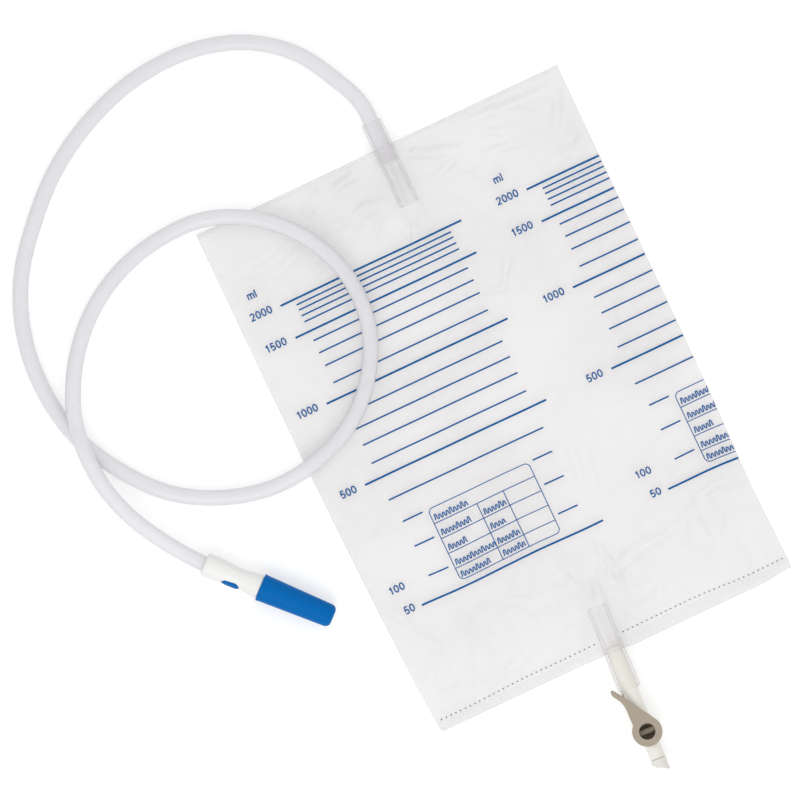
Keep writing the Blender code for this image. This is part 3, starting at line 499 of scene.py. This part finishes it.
def clear_material(name, colour, painted_rim_shade, alpha, rim_alpha, streaks, roughness=0.12):
    """Clear soft plastic: its walls get painted shade as grey lines where seen edge on, and grey streaks
    run along it.
    """
    made, shader = new_material(name, Roughness=roughness, IOR=1.45, Specular_IOR_Level=0.7)
    tree = made.node_tree
    streak = use_group(made, "tube_streaks", Strength=streaks).outputs["Mask"]
    rim = math_node(tree, "ADD", edge_on(tree, 3.2), streak, clamp=True)
    cloud = clouded(made, colour, (0.86 * c for c in colour), Strength=0.35, Scale=160.0)
    # painted rim shade: edge-on walls and the streaks turn to the grey rim colour
    tree.links.new(mix_colours(tree, rim, cloud, painted_rim_shade), shader.inputs["Base Color"])
    hidden = math_node(tree, "MULTIPLY_ADD", rim, rim_alpha - alpha, alpha)
    tree.links.new(passing_light(tree, hidden, CLEAR_SHADE), shader.inputs["Alpha"])
    surface = use_group(made, "moulded_surface", Grain=700.0)
    add_bump(made, shader, surface.outputs["Height"], 0.12, 0.0002)
    return made


def printed(name, colour, thin, **constants):
    """Ink that lies a little thinner in places."""
    made, shader = new_material(name, **constants)
    cloud = clouded(made, colour, thin, Strength=0.7, Scale=420.0)
    made.node_tree.links.new(cloud, shader.inputs["Base Color"])
    surface = use_group(made, "moulded_surface", Gloss=0.45, Gloss_change=0.2)
    made.node_tree.links.new(surface.outputs["Roughness"], shader.inputs["Roughness"])
    return made


# Mesh helpers

def add_object(name, data):
    """Put an object with this data in the scene."""
    made = bpy.data.objects.new(name, data)
    bpy.context.scene.collection.objects.link(made)
    return made


def add_mesh(name, bm, made):
    """Turn a bmesh into an object of one material."""
    mesh = bpy.data.meshes.new(name)
    bm.to_mesh(mesh)
    bm.free()
    mesh.materials.clear()
    mesh.materials.append(made)
    return add_object(name, mesh)


def finish_piece(name, bm, made, body="bag", replaces=(), smooth=SHARP_ANGLE):
    """Turn a bmesh into a piece that rides on its body."""
    piece = add_mesh(name, bm, made)
    piece.data.shade_smooth()
    if smooth < 180:
        piece.data.set_sharp_from_angle(angle=radians(smooth))
    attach(piece, body)
    if replaces:
        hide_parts(*replaces)
    return piece


def add_wall(piece, thickness):
    """Give a sheet its thickness, upwards."""
    wall = piece.modifiers.new("wall", "SOLIDIFY")
    wall.thickness = thickness
    wall.offset = 1.0


def add_edges(piece, width):
    """Round a moulded piece's sharp edges."""
    edges = piece.modifiers.new("edges", "BEVEL")
    edges.width = width
    edges.segments = 2
    edges.limit_method = "ANGLE"
    edges.angle_limit = radians(SHARP_ANGLE)
    edges.harden_normals = False


def merged_copy(node):
    """A bmesh of a solid with its loose triangles merged and its flat faces made whole."""
    bm = bmesh.new()
    bm.from_mesh(frame["nodes"][node].data)
    bmesh.ops.remove_doubles(bm, verts=bm.verts, dist=0.000002)
    bmesh.ops.dissolve_limit(bm, angle_limit=radians(0.6), verts=bm.verts, edges=bm.edges)
    return bm


def ease(value):
    value = min(max(value, 0.0), 1.0)
    return value * value * (3 - 2 * value)


def tree_of(node):
    mesh = frame["nodes"][node].data
    return BVHTree.FromPolygons([v.co for v in mesh.vertices],
                                [tuple(p.vertices) for p in mesh.polygons])


# Film

class FilmShape:
    """Where the film lies: the solids' own surface, smoothed, with wrinkles laid on it."""

    def __init__(self, settings):
        self.low, self.high = FILM_LOW, FILM_HIGH
        self.trees = {node: tree_of(node)
                      for node in ("front_film", "back_film", "inlet_port", "outlet_port")}
        self.corners = self.find_corners()
        self.height = settings.wrinkle_height
        self.creases = self.make_creases(settings.wrinkle_seed)

    def find_corners(self):
        points = [v.co for v in frame["nodes"]["front_film"].data.vertices]
        found = []
        for y in (self.low.y, self.high.y):
            row = [p.x for p in points if abs(p.y - y) < 0.0005]
            found.append((min(row), max(row)))
        return found

    def straight_side(self, y, which):
        """X of the solid's left (0) or right (1) edge."""
        share = (y - self.low.y) / (self.high.y - self.low.y)
        return self.corners[0][which] + (self.corners[1][which] - self.corners[0][which]) * share

    def side(self, y, which):
        """X of the film's own left (0) or right (1) edge, which isn't quite straight."""
        share = min(max((y - self.low.y) / (self.high.y - self.low.y), 0.0), 1.0)
        if which:
            bend = -RIGHT_DENT * exp(-((share - 0.17) / 0.12) ** 2)
        else:
            bend = -LEFT_BOW * 4 * share ** 0.7 * (1 - share ** 0.7)
        return self.straight_side(y, which) + bend

    def sag(self, x):
        """How far the bottom edge hangs below the solid's, right of the outlet."""
        return BOTTOM_SAG * ease(x / 0.015) * ease((self.high.x - x) / 0.020)

    def make_creases(self, seed):
        """Straight creases as (x, y, along x, along y, half length, half width, height)."""
        draw = random.Random(seed)
        made = []

        def crease(x, y, turn, length, width, height):
            made.append((x, y, cos(turn), sin(turn), length, width, height))

        for x, y, turn, length, width, height in CREASES:
            crease(x / 1000, y / 1000, radians(turn), length / 1000, width / 1000, height)
        for count, xs, ys, turn, length, width, height in CREASE_BANDS:
            for _ in range(count):
                crease(draw.uniform(*xs), draw.uniform(*ys), draw.gauss(*turn), draw.uniform(*length),
                       draw.uniform(*width), draw.uniform(*height))
        for end_y, way in PORT_END_CREASES:
            for i in range(11):
                turn = way * pi / 2 + (i - 5) * 0.36 + draw.gauss(0, 0.10)
                reach = draw.uniform(0.012, 0.022)
                crease(INLET_X + cos(turn) * reach, end_y + sin(turn) * reach, turn,
                       draw.uniform(0.008, 0.018), draw.uniform(0.0014, 0.0026),
                       draw.uniform(0.15, 0.45))
        return made

    def wrinkle(self, x, y):
        """Height of the wrinkles, from 0 up, in metres."""
        room = ease(((Vector((x, y)) - CAP_SPOT).length - CAP_SPOT_RADIUS) / CAP_SPOT_EASE)
        swell = noise.noise((x * 26, y * 20, 3.1)) * 0.55 + noise.noise((x * 55, y * 47, 7.7)) * 0.22
        value = max(0.0, 0.38 + swell)
        wander = noise.noise((x * 60, y * 60, 1.3)) * 0.0022
        for cx, cy, ax, ay, length, width, tall in self.creases:
            dx, dy = x - cx, y - cy
            run = (dx * ax + dy * ay) / length
            if abs(run) < CREASE_TAPER:
                off = (dy * ax - dx * ay + wander) / (width * (1.1 + 0.5 * run / CREASE_TAPER))
                if abs(off) < CREASE_SKIRT:
                    value += tall * exp(-off * off) * (1 - (run / CREASE_TAPER) ** 2) ** 2
        return value * self.height * room

    def hit(self, node, x, y, way):
        """Height of a solid's first face met going up (1) or down (-1), or None."""
        found = self.trees[node].ray_cast(Vector((x, y, -way)), Vector((0, 0, way)))[0]
        return None if found is None else found.z

    def rest(self, node, x, y):
        """Height of the solid film under a point, taken just inside its outline."""
        inset = 0.0001
        y = min(max(y, self.low.y + inset), self.high.y - inset)
        x = min(max(x, self.straight_side(y, 0) + inset), self.straight_side(y, 1) - inset)
        return self.hit(node, x, y, 1) or 0.0

    def edge(self, x, y):
        """0 on the film's outline, rising to 1 a little way in."""
        near = min(x - self.side(y, 0), self.side(y, 1) - x,
                   y - self.low.y + self.sag(x), self.high.y - y)
        return ease(near / EDGE_EASE)


def film_grid(shape, cell):
    """A flat grid with the film's outline, in cells of about the given size."""
    across = ceil((shape.high.x - shape.low.x) / cell)
    down = ceil((shape.high.y - shape.low.y) / cell)
    bm = bmesh.new()
    bmesh.ops.create_grid(bm, x_segments=across, y_segments=down, size=1)
    for vert in bm.verts:
        share = (vert.co.y + 1) / 2
        y = shape.low.y + share * (shape.high.y - shape.low.y)
        left, right = shape.side(y, 0), shape.side(y, 1)
        x = left + (vert.co.x + 1) / 2 * (right - left)
        vert.co = (x, y - shape.sag(x) * (1 - share) ** 6, 0)
    return bm


def settle(bm, rounds):
    """Even out the facets of the solid's film without moving the outline."""
    inner = [v for v in bm.verts if not v.is_boundary]
    for _ in range(rounds):
        bmesh.ops.smooth_vert(bm, verts=inner, factor=0.5, use_axis_x=False, use_axis_y=False,
                              use_axis_z=True)


def facing(bm):
    bm.normal_update()
    return [v.normal.copy() for v in bm.verts]


def mark_looks(bm, unwrinkled, phase):
    """Store for the material, from 0 to 1, how far wrinkles tip the film, plus faint noise folds, which
    get painted crease shade, and how its haze drifts.
    """
    steep = bm.verts.layers.float.new("steep")
    haze = bm.verts.layers.float.new("haze")
    for vert, before, after in zip(bm.verts, unwrinkled, facing(bm)):
        x, y = vert.co.x, vert.co.y
        drift = ease(0.5 + 0.9 * noise.noise((x * 25, y * 25, phase)))
        fold = max(0.0, 1 - 8 * abs(noise.noise((x * 50, y * 50, phase + 20))))
        fold += 0.4 * max(0.0, 1 - 6 * abs(noise.noise((x * 130, y * 130, phase + 40))))
        # steep: painted crease shade on tipped film and on faint noise folds
        vert[steep] = min(1.0, STEEP_GAIN * (1 - abs(before.dot(after))) + 0.06 * fold * drift)
        vert[haze] = drift


def make_films(settings):
    shape = FilmShape(settings)
    wall = settings.film_thickness
    sheets = {}
    for node in ("back_film", "front_film"):
        bm = film_grid(shape, settings.film_cell)
        for vert in bm.verts:
            vert.co.z = shape.rest(node, vert.co.x, vert.co.y)
        settle(bm, 8)
        sheets[node] = bm
    back, front = sheets["back_film"], sheets["front_film"]
    unwrinkled = {front: facing(front), back: facing(back)}
    for under, over in zip(back.verts, front.verts):
        x, y = over.co.x, over.co.y
        lift = shape.wrinkle(x, y)
        inside = shape.edge(x, y)
        edge_wave = 0.35 * lift
        open_gap = max(0.0, over.co.z - under.co.z - wall)
        under.co.z += edge_wave + min(0.35 * lift * inside, 0.5 * open_gap)
        over.co.z += edge_wave + lift * 0.65 * inside
        over.co.z = max(over.co.z, under.co.z + wall + FILM_GAP)
        for port in ("inlet_port", "outlet_port"):
            top, bottom = shape.hit(port, x, y, -1), shape.hit(port, x, y, 1)
            if top is not None and top < 0.5:
                over.co.z = max(over.co.z, top + PORT_GAP)
                under.co.z = min(under.co.z, max(0.0, bottom - wall - PORT_GAP))
    haze = settings.film_alpha
    pieces = []
    for bm, phase, node, name, slot, made in (
            (front, 2.2, "front_film", "bag_front_film", "printed_film",
             film_material("clear_film_front", settings, haze, 0.24)),
            (back, 9.6, "back_film", "bag_back_film", "clear_film",
             film_material("clear_film_back", settings, 0.8 * haze))):
        mark_looks(bm, unwrinkled[bm], phase)
        piece = finish_piece(name, bm, made, replaces=(node,), smooth=180)
        add_wall(piece, wall)
        pieces.append(piece)
    return shape, pieces[0]


# Print

def arc(x, y, across, up, start, end, steps=14):
    """Points along part of an oval, from one angle to another in degrees."""
    turns = [radians(start + (end - start) * i / steps) for i in range(steps + 1)]
    return [(x + across * cos(t), y + up * sin(t)) for t in turns]


# Centre lines of the printed signs, for a height of 1
DIGIT_PITCH = 0.775
SIGNS = {
    "0": [arc(0.36, 0.50, 0.255, 0.44, 0, 360, 24)],
    "1": [[(0.22, 0.76), (0.35, 0.79), (0.43, 0.86), (0.46, 0.97)], [(0.47, 1.00), (0.47, 0.00)]],
    "2": [arc(0.35, 0.68, 0.235, 0.26, 165, -38) + [(0.12, 0.06), (0.62, 0.06)]],
    "5": [[(0.59, 0.94), (0.22, 0.94), (0.15, 0.47)] + arc(0.36, 0.31, 0.245, 0.255, 140, -150)],
    "m": [[(0.10, 0.00), (0.10, 0.74)], arc(0.29, 0.48, 0.19, 0.20, 180, 0, 8) + [(0.48, 0.00)],
          arc(0.67, 0.48, 0.19, 0.20, 180, 0, 8) + [(0.86, 0.00)]],
    "l": [[(0.37, 0.00), (0.37, 1.00)]],
}


def pen_line(bm, points, width):
    """A line of even width: its centre line is drawn out and the two sides are set apart."""
    closed = (Vector(points[0]) - Vector(points[-1])).length < 0.000001
    path = [Vector(p) for p in (points[:-1] if closed else points)]
    verts = [bm.verts.new((p.x, p.y, 0)) for p in path]
    ends = list(zip(verts, verts[1:])) + ([(verts[-1], verts[0])] if closed else [])
    made = bmesh.ops.extrude_edge_only(bm, edges=[bm.edges.new(pair) for pair in ends])["geom"]
    twins = {tuple(v.co): v for v in made if isinstance(v, bmesh.types.BMVert)}
    for i, (vert, here) in enumerate(zip(verts, path)):
        before = path[i - 1] if i or closed else here
        after = path[(i + 1) % len(path)] if i + 1 < len(path) or closed else here
        a, b = (here - before).normalized(), (after - here).normalized()
        along_line = (a + b).normalized()
        reach = width / 2 / max(0.5, along_line.dot(b if b.length else a))
        aside = Vector((-along_line.y, along_line.x, 0)) * reach
        twin = twins[tuple(vert.co)]
        vert.co += aside
        twin.co -= aside


def even(start, end, step=0.0014):
    """Points on a straight line, near enough together to follow the film."""
    start, end = Vector(start), Vector(end)
    count = max(1, ceil((end - start).length / step))
    return [start.lerp(end, i / count) for i in range(count + 1)]


def add_sign(bm, lines, x, y, height, pen=0.180):
    for line in lines:
        pen_line(bm, [(x + px * height, y + py * height) for px, py in line], pen * height)


def add_number(bm, text, x, y, height):
    """Plain digits, or the unit, centred on a point."""
    start = x - len(text) * DIGIT_PITCH * height / 2
    for i, sign in enumerate(text):
        add_sign(bm, SIGNS[sign], start + (i * DIGIT_PITCH + 0.03) * height, y - height / 2, height)


def add_word(bm, x, y, length, height=0.0020, pen=0.00064, pitch=0.00205):
    """A printed word shown as a row of round loops, with some taller than the rest."""
    points = []
    for i in range(16 * round(length / pitch) + 1):
        turn = i / 16 * 2 * pi
        tall = 1.4 if i // 16 in (0, 4, 7) else 1.0
        points.append((x + (i / 16 + 0.075 * sin(2 * turn)) * pitch,
                       y + (0.5 - 0.5 * cos(turn)) * tall * height))
    pen_line(bm, points, pen)


def draw_scale(bm, settings):
    for y in THICK_LINES:
        pen_line(bm, even((THICK_SPAN[0], y), (THICK_SPAN[1], y)), settings.line_width)
    for y in THIN_LINES:
        pen_line(bm, even((THIN_SPAN[0], y), (THIN_SPAN[1], y)), settings.thin_line_width)
    for y in SHORT_LINES:
        for left, right in SHORT_SPANS:
            pen_line(bm, even((left, y), (right, y)), settings.thin_line_width)


def draw_labels(bm, settings):
    for text, x, y in LABELS:
        add_number(bm, text, x, y, settings.digit_height)


def draw_form(bm, settings):
    (x0, y0), (x1, y1), corner = FORM_LOW, FORM_HIGH, FORM_CORNER
    outline = []
    for x, y, start in ((x1 - corner, y1 - corner, 0), (x0 + corner, y1 - corner, 90),
                        (x0 + corner, y0 + corner, 180), (x1 - corner, y0 + corner, 270)):
        quarter = arc(x, y, corner, corner, start, start + 90, 6)
        if outline:
            outline += even(outline[-1], quarter[0])[1:-1]
        outline += quarter
    pen_line(bm, outline + even(outline[-1], outline[0])[1:], FORM_LINE_WIDTH)
    for y in FORM_ROWS:
        pen_line(bm, even((x0, y), (x1, y)), FORM_LINE_WIDTH)
    for x in FORM_COLUMNS:
        pen_line(bm, even((x, y0), (x, FORM_ROWS[0])), FORM_LINE_WIDTH)
    for bottom, words in zip((*FORM_ROWS, y0), FORM_WORDS):
        for x, length in zip((x0, FORM_COLUMNS[0]), words):
            if length:
                add_word(bm, x + FORM_WORD_IN, bottom + FORM_WORD_UP, length)


def lay_on_film(bm, shape, film):
    """Drop a flat print onto the film's top face, a little higher in the middle of the bottom half."""
    surface = BVHTree.FromObject(film, bpy.context.evaluated_depsgraph_get())
    for vert in bm.verts:
        x, y = vert.co.x, vert.co.y
        wave = noise.noise((x * 34, y * 22, 9.4))
        y += PRINT_ARCH * ease(-y / 0.10) * (1 - (x / shape.high.x) ** 2)
        y += wave * (PRINT_WAVE + (LOW_PRINT_WAVE - PRINT_WAVE) * ease(-y / 0.05))
        x = min(x, shape.side(y, 1) - PRINT_INSET)
        found = surface.ray_cast(Vector((x, y, 1)), Vector((0, 0, -1)))[0]
        vert.co = (x, y, (found.z if found else 0.0) + PRINT_LIFT)


def cut_at_edge(bm, shape):
    """Cut the print off at the film's right edge."""
    low = Vector((shape.corners[0][1] - PRINT_INSET, shape.low.y, 0))
    high = Vector((shape.corners[1][1] - PRINT_INSET, shape.high.y, 0))
    outward = Vector((high.y - low.y, low.x - high.x, 0)).normalized()
    bmesh.ops.bisect_plane(bm, geom=bm.verts[:] + bm.edges[:] + bm.faces[:], dist=0.000001, plane_co=low,
                           plane_no=outward, clear_outer=True)


def make_print(name, draw, shape, film, ink, settings):
    """Draw one kind of print twice, side by side, and lay it on the film."""
    bm = bmesh.new()
    draw(bm, settings)
    bmesh.ops.duplicate(bm, geom=bm.verts[:] + bm.edges[:] + bm.faces[:])
    bm.verts.ensure_lookup_table()
    second = bm.verts[len(bm.verts) // 2:]
    bmesh.ops.translate(bm, verts=second, vec=(PRINT_REPEAT, 0, 0))
    cut_at_edge(bm, shape)
    lay_on_film(bm, shape, film)
    bmesh.ops.recalc_face_normals(bm, faces=bm.faces)
    for face in bm.faces:
        if face.normal.z < 0:
            face.normal_flip()
    piece = finish_piece(name, bm, ink, smooth=180)
    add_wall(piece, LINE_WALL)


def make_seam_dots(shape, film, ink):
    """The row of small dots above the bottom edge, left out where the outlet port passes."""
    bm = bmesh.new()
    x = shape.low.x + SEAM_DOTS_FROM
    while x < shape.high.x - SEAM_DOTS_TO:
        if abs(x - OUTLET_X) > OUTLET_HALF_WIDTH:
            made = bmesh.ops.create_circle(bm, cap_ends=True, segments=10, radius=SEAM_DOT_RADIUS)
            bmesh.ops.translate(bm, verts=made["verts"], vec=(x, SEAM_DOTS_Y, 0))
        x += SEAM_DOT_PITCH
    lay_on_film(bm, shape, film)
    piece = finish_piece("seam_dots", bm, ink, smooth=180)
    add_wall(piece, DOT_WALL)


# Hose

def hose_points(step):
    """Points on the smooth curve that the solid hose follows."""
    low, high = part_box("inlet_port")
    mouth = Vector((INLET_X, high.y, (low.z + high.z) / 2))
    inside = mouth - Vector((0, HOSE_IN_PORT, 0))
    end = CONNECTOR_START + CONNECTOR_AXIS * SOCKET_DEPTH
    route = [inside, mouth] + [Vector(p) for p in HOSE_ROUTE] + [CONNECTOR_START.copy(), end]
    knots = [route[0] * 2 - route[1]] + route + [route[-1] * 2 - route[-2]]
    fine = []
    for a, b, c, d in zip(knots, knots[1:], knots[2:], knots[3:]):
        before, span, after = (b - a).length, (c - b).length, (d - c).length
        leave = ((c - b) / span * before + (b - a) / before * span) / (before + span) * span
        reach = ((d - c) / after * span + (c - b) / span * after) / (span + after) * span
        count = max(4, round(span / step))
        for i in range(count):
            t = i / count
            fine.append(b * (2 * t ** 3 - 3 * t ** 2 + 1) + leave * (t ** 3 - 2 * t ** 2 + t)
                        + c * (3 * t ** 2 - 2 * t ** 3) + reach * (t ** 3 - t ** 2))
    return fine + [route[-1]], mouth


def make_hose(settings):
    points, mouth = hose_points(0.0032)
    curve = bpy.data.curves.new("hose", "CURVE")
    curve.dimensions = "3D"
    curve.bevel_depth = settings.hose_diameter / 2
    curve.bevel_resolution = 6
    spline = curve.splines.new("POLY")
    spline.points.add(len(points) - 1)
    for knot, place in zip(spline.points, points):
        knot.co = (*place, 1)
    spline.use_smooth = True
    curve.use_fill_caps = True
    curve.materials.append(milky("milky_hose", settings.hose_colour, HOSE_CLOUD_AND_RIM_SHADE, 0.28, 0.72, 0.98,
                                 rim_shade=0.70, Specular_IOR_Level=0.5))
    hose = add_object("hose", curve)
    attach(hose, "bag")
    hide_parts("drainage_tube")
    return hose, mouth


# Stage

def make_floor():
    bm = bmesh.new()
    bmesh.ops.create_grid(bm, x_segments=1, y_segments=1, size=4)
    bmesh.ops.translate(bm, verts=bm.verts, vec=(0, 0, -0.0002))
    made, shader = new_material("pale_floor", Base_Color=(0.74, 0.74, 0.74), Roughness=0.9,
                                Specular_IOR_Level=0.1, Emission_Color=(1.0, 1.0, 1.0))
    tree = made.node_tree
    path = tree.nodes.new("ShaderNodeLightPath")
    seen = math_node(tree, "ADD", path.outputs["Is Camera Ray"], path.outputs["Is Glossy Ray"])
    seen = math_node(tree, "ADD", seen, path.outputs["Is Transmission Ray"], clamp=True)
    tree.links.new(math_node(tree, "MULTIPLY", seen, 0.40), shader.inputs["Emission Strength"])
    floor = add_mesh("floor", bm, made)


def make_world():
    world = bpy.data.worlds.new("studio")
    bpy.context.scene.world = world
    world.use_nodes = True
    tree = world.node_tree
    background = tree.nodes["Background"]
    background.inputs["Color"].default_value = (1.0, 1.0, 1.0, 1)
    path = tree.nodes.new("ShaderNodeLightPath")
    seen = math_node(tree, "MULTIPLY_ADD", path.outputs["Is Camera Ray"], 0.25, 0.75)
    tree.links.new(seen, background.inputs["Strength"])


def make_lamp(name, place, aim, size, power):
    data = bpy.data.lights.new(name, "AREA")
    data.shape = "RECTANGLE"
    data.size, data.size_y = size
    data.energy = power
    lamp = add_object(name, data)
    lamp.location = place
    lamp.rotation_euler = (Vector(aim) - Vector(place)).to_track_quat("-Z", "Y").to_euler()


def make_camera():
    data = bpy.data.cameras.new("camera")
    data.lens = LENS_MM
    data.sensor_width = SENSOR_MM
    camera = add_object("camera", data)
    camera.location = (*PICTURE_CENTRE, PICTURE_WIDTH * LENS_MM / SENSOR_MM)
    camera.rotation_euler = (0, 0, PICTURE_TURN)
    bpy.context.scene.camera = camera


# Operators

class BAG_OT_stage(bpy.types.Operator):
    """Set the camera, floor, lamps and world."""
    bl_idname = "bag.stage"
    bl_label = "Stage"

    def execute(self, context):
        make_camera()
        make_floor()
        make_world()
        for lamp in LAMPS:
            make_lamp(*lamp)
        scene = context.scene
        scene.view_settings.view_transform = "Standard"
        scene.cycles.transparent_max_bounces = 32
        return {"FINISHED"}


class BAG_OT_hose(bpy.types.Operator):
    bl_idname = "bag.hose"
    bl_label = "Hose"

    def execute(self, context):
        settings = context.scene.drainage_bag
        hose, mouth = make_hose(settings)
        ends = make_connector(settings)
        return {"FINISHED"}


def make_connector(settings):
    body = finish_piece("connector", merged_copy("connector_body"),
                        moulded("white_connector", settings.connector_colour, 0.38,
                                Subsurface_Weight=0.15, Subsurface_Radius=(0.002, 0.002, 0.002)),
                        replaces=("connector_body",))
    add_edges(body, MOULD_EDGE)
    septum = finish_piece("septum", merged_copy("sampling_septum"),
                          moulded("blue_septum", settings.cap_colour, 0.5, Specular_IOR_Level=0.06),
                          replaces=("sampling_septum",))
    cap = finish_piece("cap", merged_copy("protective_cap"),
                       moulded("blue_cap", settings.cap_colour, 0.42, Specular_IOR_Level=0.06),
                       body="cap", replaces=("protective_cap",))
    add_edges(cap, MOULD_EDGE)
    return [body, septum, cap]


class BAG_OT_film(bpy.types.Operator):
    """Lay the two films and print the scale on the front one."""
    bl_idname = "bag.film"
    bl_label = "Film and print"

    def execute(self, context):
        settings = context.scene.drainage_bag
        shape, film = make_films(settings)
        bpy.context.view_layer.update()
        ink = printed("blue_ink", settings.ink_colour, THIN_INK, Specular_IOR_Level=0.1)
        for name, draw in (("printed_lines", draw_scale), ("printed_numbers", draw_labels),
                           ("printed_form", draw_form)):
            make_print(name, draw, shape, film, ink, settings)
        dots = printed("seam_dot_ink", DOT_INK, THIN_DOT_INK, Specular_IOR_Level=0.2)
        make_seam_dots(shape, film, dots)
        return {"FINISHED"}


class BAG_OT_ports(bpy.types.Operator):
    """Make the two clear sleeves and the soft valve."""
    bl_idname = "bag.ports"
    bl_label = "Ports"

    def execute(self, context):
        clear = clear_material("clear_sleeve", tuple(context.scene.drainage_bag.sleeve_colour),
                               SLEEVE_RIM_SHADE, 0.030, 0.82, 0.075)
        for node, name in (("inlet_port", "inlet_sleeve"), ("outlet_port", "outlet_sleeve")):
            piece = finish_piece(name, merged_copy(node), clear, replaces=(node,))
            add_edges(piece, SOFT_EDGE)
        soft = clear_material("soft_valve", VALVE_COLOUR, VALVE_RIM_SHADE, 0.02, 0.40, 0.08, 0.3)
        finish_piece("valve", merged_copy("non_return_valve"), soft,
                     replaces=("non_return_valve",))
        return {"FINISHED"}


class BAG_OT_tap(bpy.types.Operator):
    """Dress the tap: body, lever, keeper and drain tip."""
    bl_idname = "bag.tap"
    bl_label = "Tap"

    def execute(self, context):
        settings = context.scene.drainage_bag
        body = milky("milky_tap", settings.tap_colour, TAP_CLOUD_AND_RIM_SHADE, 0.35, 0.86, 1.0,
                     Specular_IOR_Level=0.5)
        lever = moulded("taupe_lever", settings.lever_colour, 0.5, bump=0.1)
        tip = milky("ivory_tip", TIP_COLOUR, TIP_CLOUD_AND_RIM_SHADE, 0.4, 0.85, 1.0)
        for node, name, made, rider, slot in (
                ("tap_body", "tap", body, "bag", "milky_tap"),
                ("tap_lever", "lever", lever, "tap_lever", "taupe_lever"),
                ("tap_keeper", "keeper", lever, "tap_lever", "taupe_lever"),
                ("drain_tip", "spout_tip", tip, "bag", "ivory_tip")):
            piece = finish_piece(name, merged_copy(node), made, body=rider, replaces=(node,))
            add_edges(piece, CUT_EDGE if node == "drain_tip" else SOFT_EDGE)
        return {"FINISHED"}


class BAG_PT_panel(bpy.types.Panel):
    """Lists the steps that dress the bag."""
    bl_label = "Drainage Bag"
    bl_idname = "BAG_PT_panel"
    bl_space_type = "VIEW_3D"
    bl_region_type = "UI"
    bl_category = "Drainage Bag"

    def draw(self, context):
        settings = context.scene.drainage_bag
        for prop in BagSettings.__annotations__:
            self.layout.prop(settings, prop)
        for step in STEPS:
            self.layout.operator(step.bl_idname)


STEPS = (BAG_OT_stage, BAG_OT_hose, BAG_OT_film, BAG_OT_ports, BAG_OT_tap)
CLASSES = (BagSettings, *STEPS, BAG_PT_panel)


def register():
    for item in CLASSES:
        bpy.utils.register_class(item)
    bpy.types.Scene.drainage_bag = PointerProperty(type=BagSettings)


def unregister():
    del bpy.types.Scene.drainage_bag
    for item in reversed(CLASSES):
        bpy.utils.unregister_class(item)


def main():
    """Dress the solids."""
    for item in list(bpy.data.objects):
        if item.name in ("Cube", "Light", "Camera"):
            bpy.data.objects.remove(item, do_unlink=True)
    register()
    bpy.ops.bag.stage()
    bpy.ops.bag.hose()
    bpy.ops.bag.film()
    bpy.ops.bag.ports()
    bpy.ops.bag.tap()


if __name__ == "__main__":
    main()
